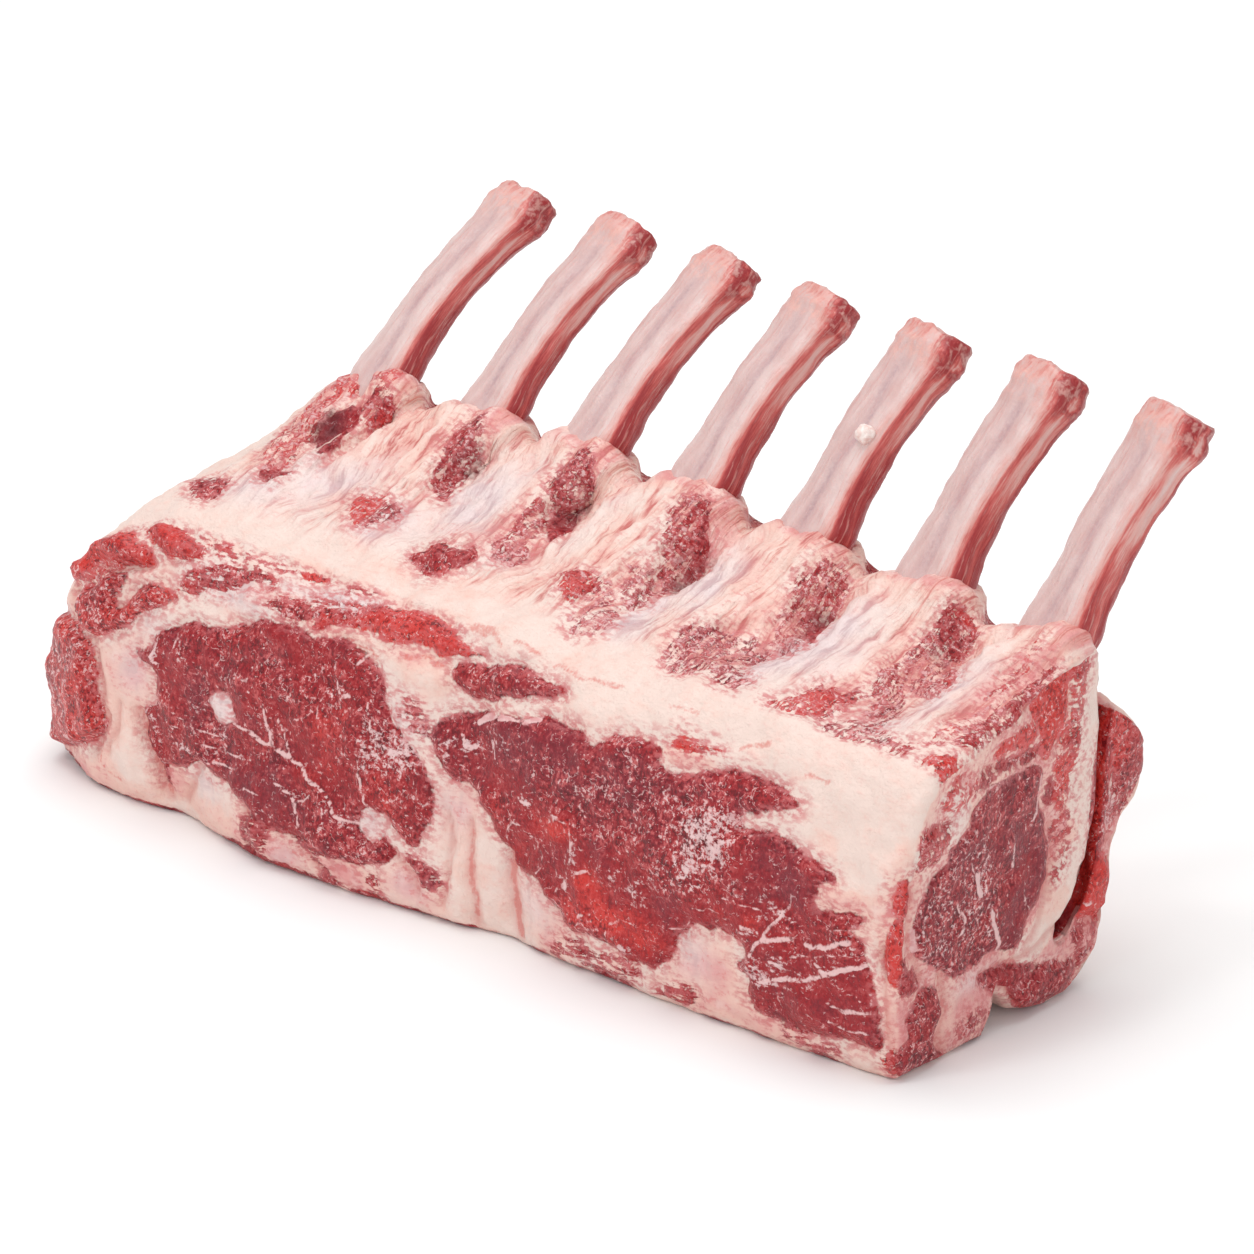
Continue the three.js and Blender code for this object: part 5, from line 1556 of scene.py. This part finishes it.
class MeatGraph(Graph):
    """The raw meat's nodes, and the noises that its tissues share."""

    def __init__(self):
        super().__init__("raw_meat")
        self.cloud = self.noise(self.place, 5.0, 3, 0.55)
        self.border = self.noise(self.place, 2.4, 3, 0.55)
        self.mottle = self.noise(self.place, (1.7, 0.9, 0.9), 3, 0.6)
        self.grain = self.noise(self.place, (0.55, 0.55, 0.8), 2, 0.6, 0.2)
        self.fleck = self.noise(self.place, 0.7, 3, 0.65, 0.4)
        self.streak = self.noise(self.field("flow", "Vector"), (0.6, 7.0, 2.5), 3, 0.55)
        self.rib_side = self.field("rib_side")
        torn = self.add(self.swing(self.mottle, 3.0), self.swing(self.streak, 3.4))
        edge = self.add(self.field("lean"), self.swing(self.border, 1.8))
        edge = self.add(edge, self.mul(torn, self.field("ragged")))
        self.lean_edge = self.add(edge, self.swing(self.grain, 0.6))

    def flesh(self):
        """Lean: its tone and mottling, then flecks, threads, veins, film and smeared edges."""
        tone = self.add(self.field("tone"), self.swing(self.cloud, 0.9), self.swing(self.grain, 0.4))
        dark = self.mix(self.step(tone, 0.0, 0.5), PURPLE, DEEP_RED)
        colour = self.mix(self.step(tone, 0.5, 1.0), dark, BRIGHT_RED)
        marbling = self.add(self.field("marbling"), self.swing(self.border, 1.2))
        uneven = self.add(self.swing(self.border, 1.2), self.swing(self.mottle, 1.3))
        uneven = self.add(uneven, self.swing(self.grain, 2.0))
        light = self.mul(self.step(uneven, 0.02, 0.42), self.step(marbling, -0.1, 1.1, 0.25, 0.85))
        colour = self.mix(light, colour, FLESH_LIGHT)
        shadow = self.mul(self.step(uneven, -0.04, -0.4, 0, 0.85), self.step(marbling, -0.3, 0.9, 0.35, 1.0))
        colour = self.mix(shadow, colour, FLESH_SHADOW)

        crowded = self.add(self.mul(marbling, 0.1), self.swing(self.border, 0.3))
        flecks = self.step(self.add(self.fleck, crowded), 0.68, 0.75)
        thread = self.math("ABSOLUTE", self.add(self.noise(self.place, 4.2, 3, 0.5), -0.5))
        broken = self.step(self.add(self.fleck, self.mul(marbling, 0.1)), 0.5, 0.6)
        threads = self.mul(self.step(thread, 0.010, 0.003), broken)
        vein = self.step(self.add(self.field("vein"), self.swing(self.grain, 0.5)), -0.12, 0.14, 0, 0.9)
        white = self.math("MAXIMUM", self.mul(flecks, 0.7), self.mul(threads, 0.55))
        colour = self.mix(self.math("MAXIMUM", white, vein), colour, FLECK)
        film = self.add(self.mul(self.field("film"), 0.55), self.swing(self.mottle, 1.7))
        film = self.step(self.add(film, self.swing(self.fleck, 1.5)), 0.28, 0.66, 0, 0.8)
        colour = self.mix(film, colour, FILM)
        smear = self.mul(self.step(self.lean_edge, 1.8, 0.0, 0, 0.55), self.step(self.mottle, 0.42, 0.6))
        return self.mix(smear, colour, SMEAR)

    def fat(self):
        """Fat and membrane: cream to pink with painted highlights, then streaks whose ridges are partly
        painted highlight, lilac film, red fringes, thin lines, and grooves tinted partly with painted shade.
        """
        pink = self.add(self.field("pink"), self.swing(self.cloud, 1.2), self.swing(self.mottle, 0.5))
        colour = self.mix(self.step(pink, -0.1, 0.5), CREAM, PEACH)
        colour = self.mix(self.step(pink, 0.4, 1.2, 0, 0.95), colour, PINK)
        # Painted highlights: random pale cream patches on the fat.
        colour = self.mix(self.step(self.cloud, 0.55, 0.75, 0, 0.4), colour, PAINTED_FAT_HIGHLIGHT)
        strand = self.add(self.field("strand"), self.swing(self.streak, 1.1))
        # Raised streak ridges go pale cream, partly their paler fat and partly painted highlight; lower
        # streaks go pink and red.
        for start, stop, share, streak_colour in ((0.0, 0.4, 0.6, STREAK_RIDGE_FAT_AND_HIGHLIGHT),
                                                  (-0.02, -0.3, 0.75, STREAK_PINK),
                                                  (-0.22, -0.5, 0.8, STREAK_RED)):
            on_streak = self.mul(self.step(strand, start, stop), self.mul(self.rib_side, share))
            colour = self.mix(on_streak, colour, streak_colour)
        hairs = self.mul(self.step(self.streak, 0.42, 0.34), self.step(pink, -0.1, 0.6, 0.3, 1.0))
        colour = self.mix(self.mul(hairs, self.mul(self.rib_side, 0.55)), colour, HAIR)
        lilac = self.field("lilac")
        colour = self.mix(self.mul(lilac, 0.85), colour, LILAC)
        violet = self.step(self.add(strand, self.mul(self.cloud, 0.8)), 0.5, 0.1, 0, 0.45)
        colour = self.mix(self.mul(lilac, violet), colour, GREY_VIOLET)
        fringe = self.mul(self.step(self.lean_edge, -3.4, -0.2, 0, 0.8), self.step(self.mottle, 0.4, 0.62))
        colour = self.mix(fringe, colour, FRINGE)
        blush = self.step(self.add(self.mottle, self.mul(self.grain, 0.35)), 0.74, 0.86, 0, 0.5)
        colour = self.mix(self.mul(blush, self.step(pink, 0.2, 0.8, 0.15, 1.0)), colour, BLUSH)
        line = self.add(self.field("capillary"), self.swing(self.grain, 1.0))
        colour = self.mix(self.step(line, -0.35, 0.15, 0, 0.6), colour, CAPILLARY)
        # Grooves go pinker and darker: partly the seam's own pink, partly painted shade.
        return self.mix(self.mul(self.field("groove"), 0.5), colour, GROOVE_SEAM_AND_SHADE)


def meat_material():
    g = MeatGraph()
    is_lean = g.step(g.lean_edge, -0.25, 0.3)
    # Painted shade: the hollows and the cleft darken towards a near-black red.
    painted_recess_shade = g.step(g.add(g.field("painted_recess_shade"), g.swing(g.grain, 0.6)), 0.15, 0.9, 0, 0.85)
    rough = g.add(g.mul(is_lean, -0.05), g.mul(g.grain, 0.3))
    g.surface(base_color=g.mix(painted_recess_shade, g.mix(is_lean, g.fat(), g.flesh()), RECESS_SHADE), roughness=g.add(rough, 0.32),
              specular_ior_level=0.25, coat_weight=0.14, coat_roughness=0.16)
    height = g.add(g.mul(g.grain, 0.55), g.mul(g.mul(g.streak, g.rib_side), 0.9))
    g.bump(g.add(height, g.mul(g.mottle, 0.5)), 0.55, 0.8)
    return g.material


def bone_material():
    g = Graph("bare_bone")
    flow = g.field("flow", "Vector")
    fine = g.noise(g.place, 0.7, 3, 0.6)
    patchy = g.noise(g.place, 1.8, 3, 0.6)
    broad = g.noise(flow, (2.6, 2.6, 11.0), 3, 0.55)
    streak = g.noise(flow, (0.9, 0.8, 9.0), 4, 0.62)
    knob = g.field("knob")
    streaked = g.mul(g.add(streak, -0.5), g.step(g.field("red"), 0.0, 0.5, 0.35, 1.2))
    red = g.add(g.field("red"), g.swing(broad, 0.4), streaked)
    red = g.add(red, g.mul(g.mul(g.add(patchy, -0.46), knob), 1.3))
    colour = g.mix(g.step(broad, 0.3, 0.7), BONE, BONE_SHADE)
    colour = g.mix(g.step(streak, 0.52, 0.7, 0, 0.55), colour, BONE_STREAK)
    vein = g.mul(g.field("groove"), g.step(fine, 0.3, 0.7, 0.5, 1.0))
    colour = g.mix(g.mul(vein, 0.7), colour, BONE_VEIN)
    for start, stop, redder in ((0.06, 0.46, BONE_PINK), (0.4, 0.72, BONE_RED), (0.62, 1.0, BONE_DARK)):
        colour = g.mix(g.step(red, start, stop), colour, redder)
    threads = g.mul(g.step(streak, 0.56, 0.68, 0, 0.5), g.step(red, 0.3, 0.6))
    colour = g.mix(threads, colour, BONE_THREAD)
    colour = g.mix(g.mul(knob, g.step(patchy, 0.48, 0.66, 0, 0.4)), colour, BONE_CRUMB)
    g.surface(base_color=colour, roughness=g.step(fine, 0.2, 0.8, 0.3, 0.5),
              subsurface_weight=0.1, subsurface_radius=(1.0, 0.4, 0.3), subsurface_scale=1.2 * MM,
              coat_weight=0.15, coat_roughness=0.2)
    g.bump(g.add(g.mul(fine, 0.5), streak), 0.4, 0.7)
    return g.material


def crumb_material():
    g = Graph("crumb_of_fat")
    shadow = g.step(g.noise(g.place, 1.1, 3, 0.6), 0.4, 0.62)
    g.surface(base_color=g.mix(shadow, CRUMB_LIGHT, CRUMB_SHADE), roughness=0.4)
    g.bump(g.noise(g.place, 0.5, 3, 0.6), 0.2, 0.6)
    return g.material


def floor_material():
    g = Graph("pale_floor")
    speckle = g.noise(g.place, 60.0, 2, 0.5)
    g.surface(base_color=g.mix(speckle, (0.95, 0.965, 0.965), (0.96, 0.975, 0.975)),
              roughness=0.7, specular_ior_level=0.1)
    return g.material


# ---------------------------------------------------------------- objects

def mesh_object(name, vertices, faces, fields, material, flow=None):
    mesh = bpy.data.meshes.new(name)
    mesh.from_pydata(((vertices + SHIFT) * MM).tolist(), [], faces)
    for field, values in fields.items():
        attribute = mesh.attributes.new(field, "FLOAT", "POINT")
        attribute.data.foreach_set("value", np.asarray(values, np.float32))
    if flow is not None:
        attribute = mesh.attributes.new("flow", "FLOAT_VECTOR", "POINT")
        attribute.data.foreach_set("vector", np.asarray(flow, np.float32).ravel())
    mesh.shade_smooth()
    mesh.materials.append(material)
    thing = bpy.data.objects.new(name, mesh)
    bpy.context.scene.collection.objects.link(thing)
    return thing


def make_meat(material):
    vertices, faces, on_cut = meat_skin()
    vertices, fields, strands = dress_meat(vertices, faces, on_cut)
    meat = mesh_object("meat_skin", vertices, faces, fields, material, strands)
    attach(meat, "root")
    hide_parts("meat")


CRUMB_PLACE = (0.5, 0.66)  # how far across rib 5 and along it the crumb of fat sits
CRUMB_RADIUS = 1.7
CRUMB_UNEVENNESS = 0.3
CRUMB_RINGS = 23
CRUMB_SIDES = 40


def make_crumb(material):
    """The lump of fat that sticks to the fifth rib."""
    across, along = CRUMB_PLACE
    centre, _, side, inner, half_width, half_depth = rib_frame(RIBS[4], np.array([along]))
    middle = centre[0] + across * half_width[0] * side[0] + (half_depth[0] + 0.3) * inner[0]
    angle = np.pi * np.arange(1, CRUMB_RINGS + 1)[:, None] / (CRUMB_RINGS + 1)
    turn = 2 * np.pi * np.arange(CRUMB_SIDES)[None] / CRUMB_SIDES
    ball = np.stack([np.sin(angle) * np.cos(turn), np.sin(angle) * np.sin(turn), np.cos(angle) + 0 * turn],
                    axis=-1)
    ball = np.concatenate([[[0, 0, 1]], ball.reshape(-1, 3), [[0, 0, -1]]])
    size = CRUMB_RADIUS * (1 + CRUMB_UNEVENNESS * Noise(61)(ball, 0.9, 2))
    last = len(ball) - 1
    faces = []
    for r in range(CRUMB_RINGS - 1):
        faces += strip(1 + r * CRUMB_SIDES, 1 + (r + 1) * CRUMB_SIDES, CRUMB_SIDES)
    faces += [[0, 1 + i, 1 + (i + 1) % CRUMB_SIDES] for i in range(CRUMB_SIDES)]
    faces += [[last, last - 1 - i, last - 1 - (i + 1) % CRUMB_SIDES] for i in range(CRUMB_SIDES)]
    crumb = mesh_object("fat_crumb", middle + ball * size[:, None], faces, {}, material)
    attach(crumb, "root")


def make_ribs(material):
    for i, rib in enumerate(RIBS):
        vertices, faces, fields, flow = rib_mesh(rib, 70 + i, RIB_REDNESS[i])
        bone = mesh_object(f"bare_rib_{i + 1}", vertices, faces, fields, material, flow)
        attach(bone, "root")
        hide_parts(f"rib_{i + 1}")


# ---------------------------------------------------------------- studio

CAMERA_PLACE = (0.746264, -0.836099, 0.504214)
CAMERA_AZIMUTH = 41.46405  # degrees, from the long face towards the cut end
CAMERA_ELEVATION = 22.37886
CAMERA_LENS = 201.927  # on a sensor 36 mm wide
FLOOR_HALF = 4.0  # metres
LIGHTS = [  # name, place, size, power
    ("overhead", (-0.3, 0.2, 2.6), 2.2, 40),
    ("front_fill", (-0.6, -2.8, 1.7), 2.2, 18),
    ("glint", (-0.25, -1.0, 1.7), 0.3, 3.0),
    ("end_fill", (2.8, -1.2, 1.3), 1.8, 12),
]
LIGHT_AIM = (0, 0, 0.04)


def make_camera():
    camera = bpy.data.objects.new("camera", bpy.data.cameras.new("camera"))
    camera.location = CAMERA_PLACE
    camera.rotation_euler = (math.radians(90 - CAMERA_ELEVATION), 0, math.radians(CAMERA_AZIMUTH))
    camera.data.lens = CAMERA_LENS
    camera.data.sensor_width = 36
    camera.data.clip_start = 0.01
    bpy.context.scene.collection.objects.link(camera)
    bpy.context.scene.camera = camera


def make_light(name, place, size, power):
    data = bpy.data.lights.new(name, "AREA")
    data.shape = "SQUARE"
    data.size = size
    data.energy = power
    light = bpy.data.objects.new(name, data)
    light.location = place
    light.rotation_euler = (Vector(LIGHT_AIM) - Vector(place)).to_track_quat("-Z", "Y").to_euler()
    bpy.context.scene.collection.objects.link(light)


def make_floor(material):
    mesh = bpy.data.meshes.new("floor")
    corners = [(-1, -1), (1, -1), (1, 1), (-1, 1)]
    mesh.from_pydata([(FLOOR_HALF * x, FLOOR_HALF * y, 0) for x, y in corners], [], [(0, 1, 2, 3)])
    mesh.materials.append(material)
    floor = bpy.data.objects.new("floor", mesh)
    bpy.context.scene.collection.objects.link(floor)


def make_studio():
    make_floor(floor_material())
    for light in LIGHTS:
        make_light(*light)
    world = bpy.data.worlds.new("studio")
    world.use_nodes = True
    background = world.node_tree.nodes["Background"]
    background.inputs["Color"].default_value = (1, 1, 1, 1)
    background.inputs["Strength"].default_value = 0.55
    bpy.context.scene.world = world
    bpy.context.scene.view_settings.view_transform = "Standard"


make_camera()
make_meat(meat_material())
make_ribs(bone_material())
make_crumb(crumb_material())
make_studio()
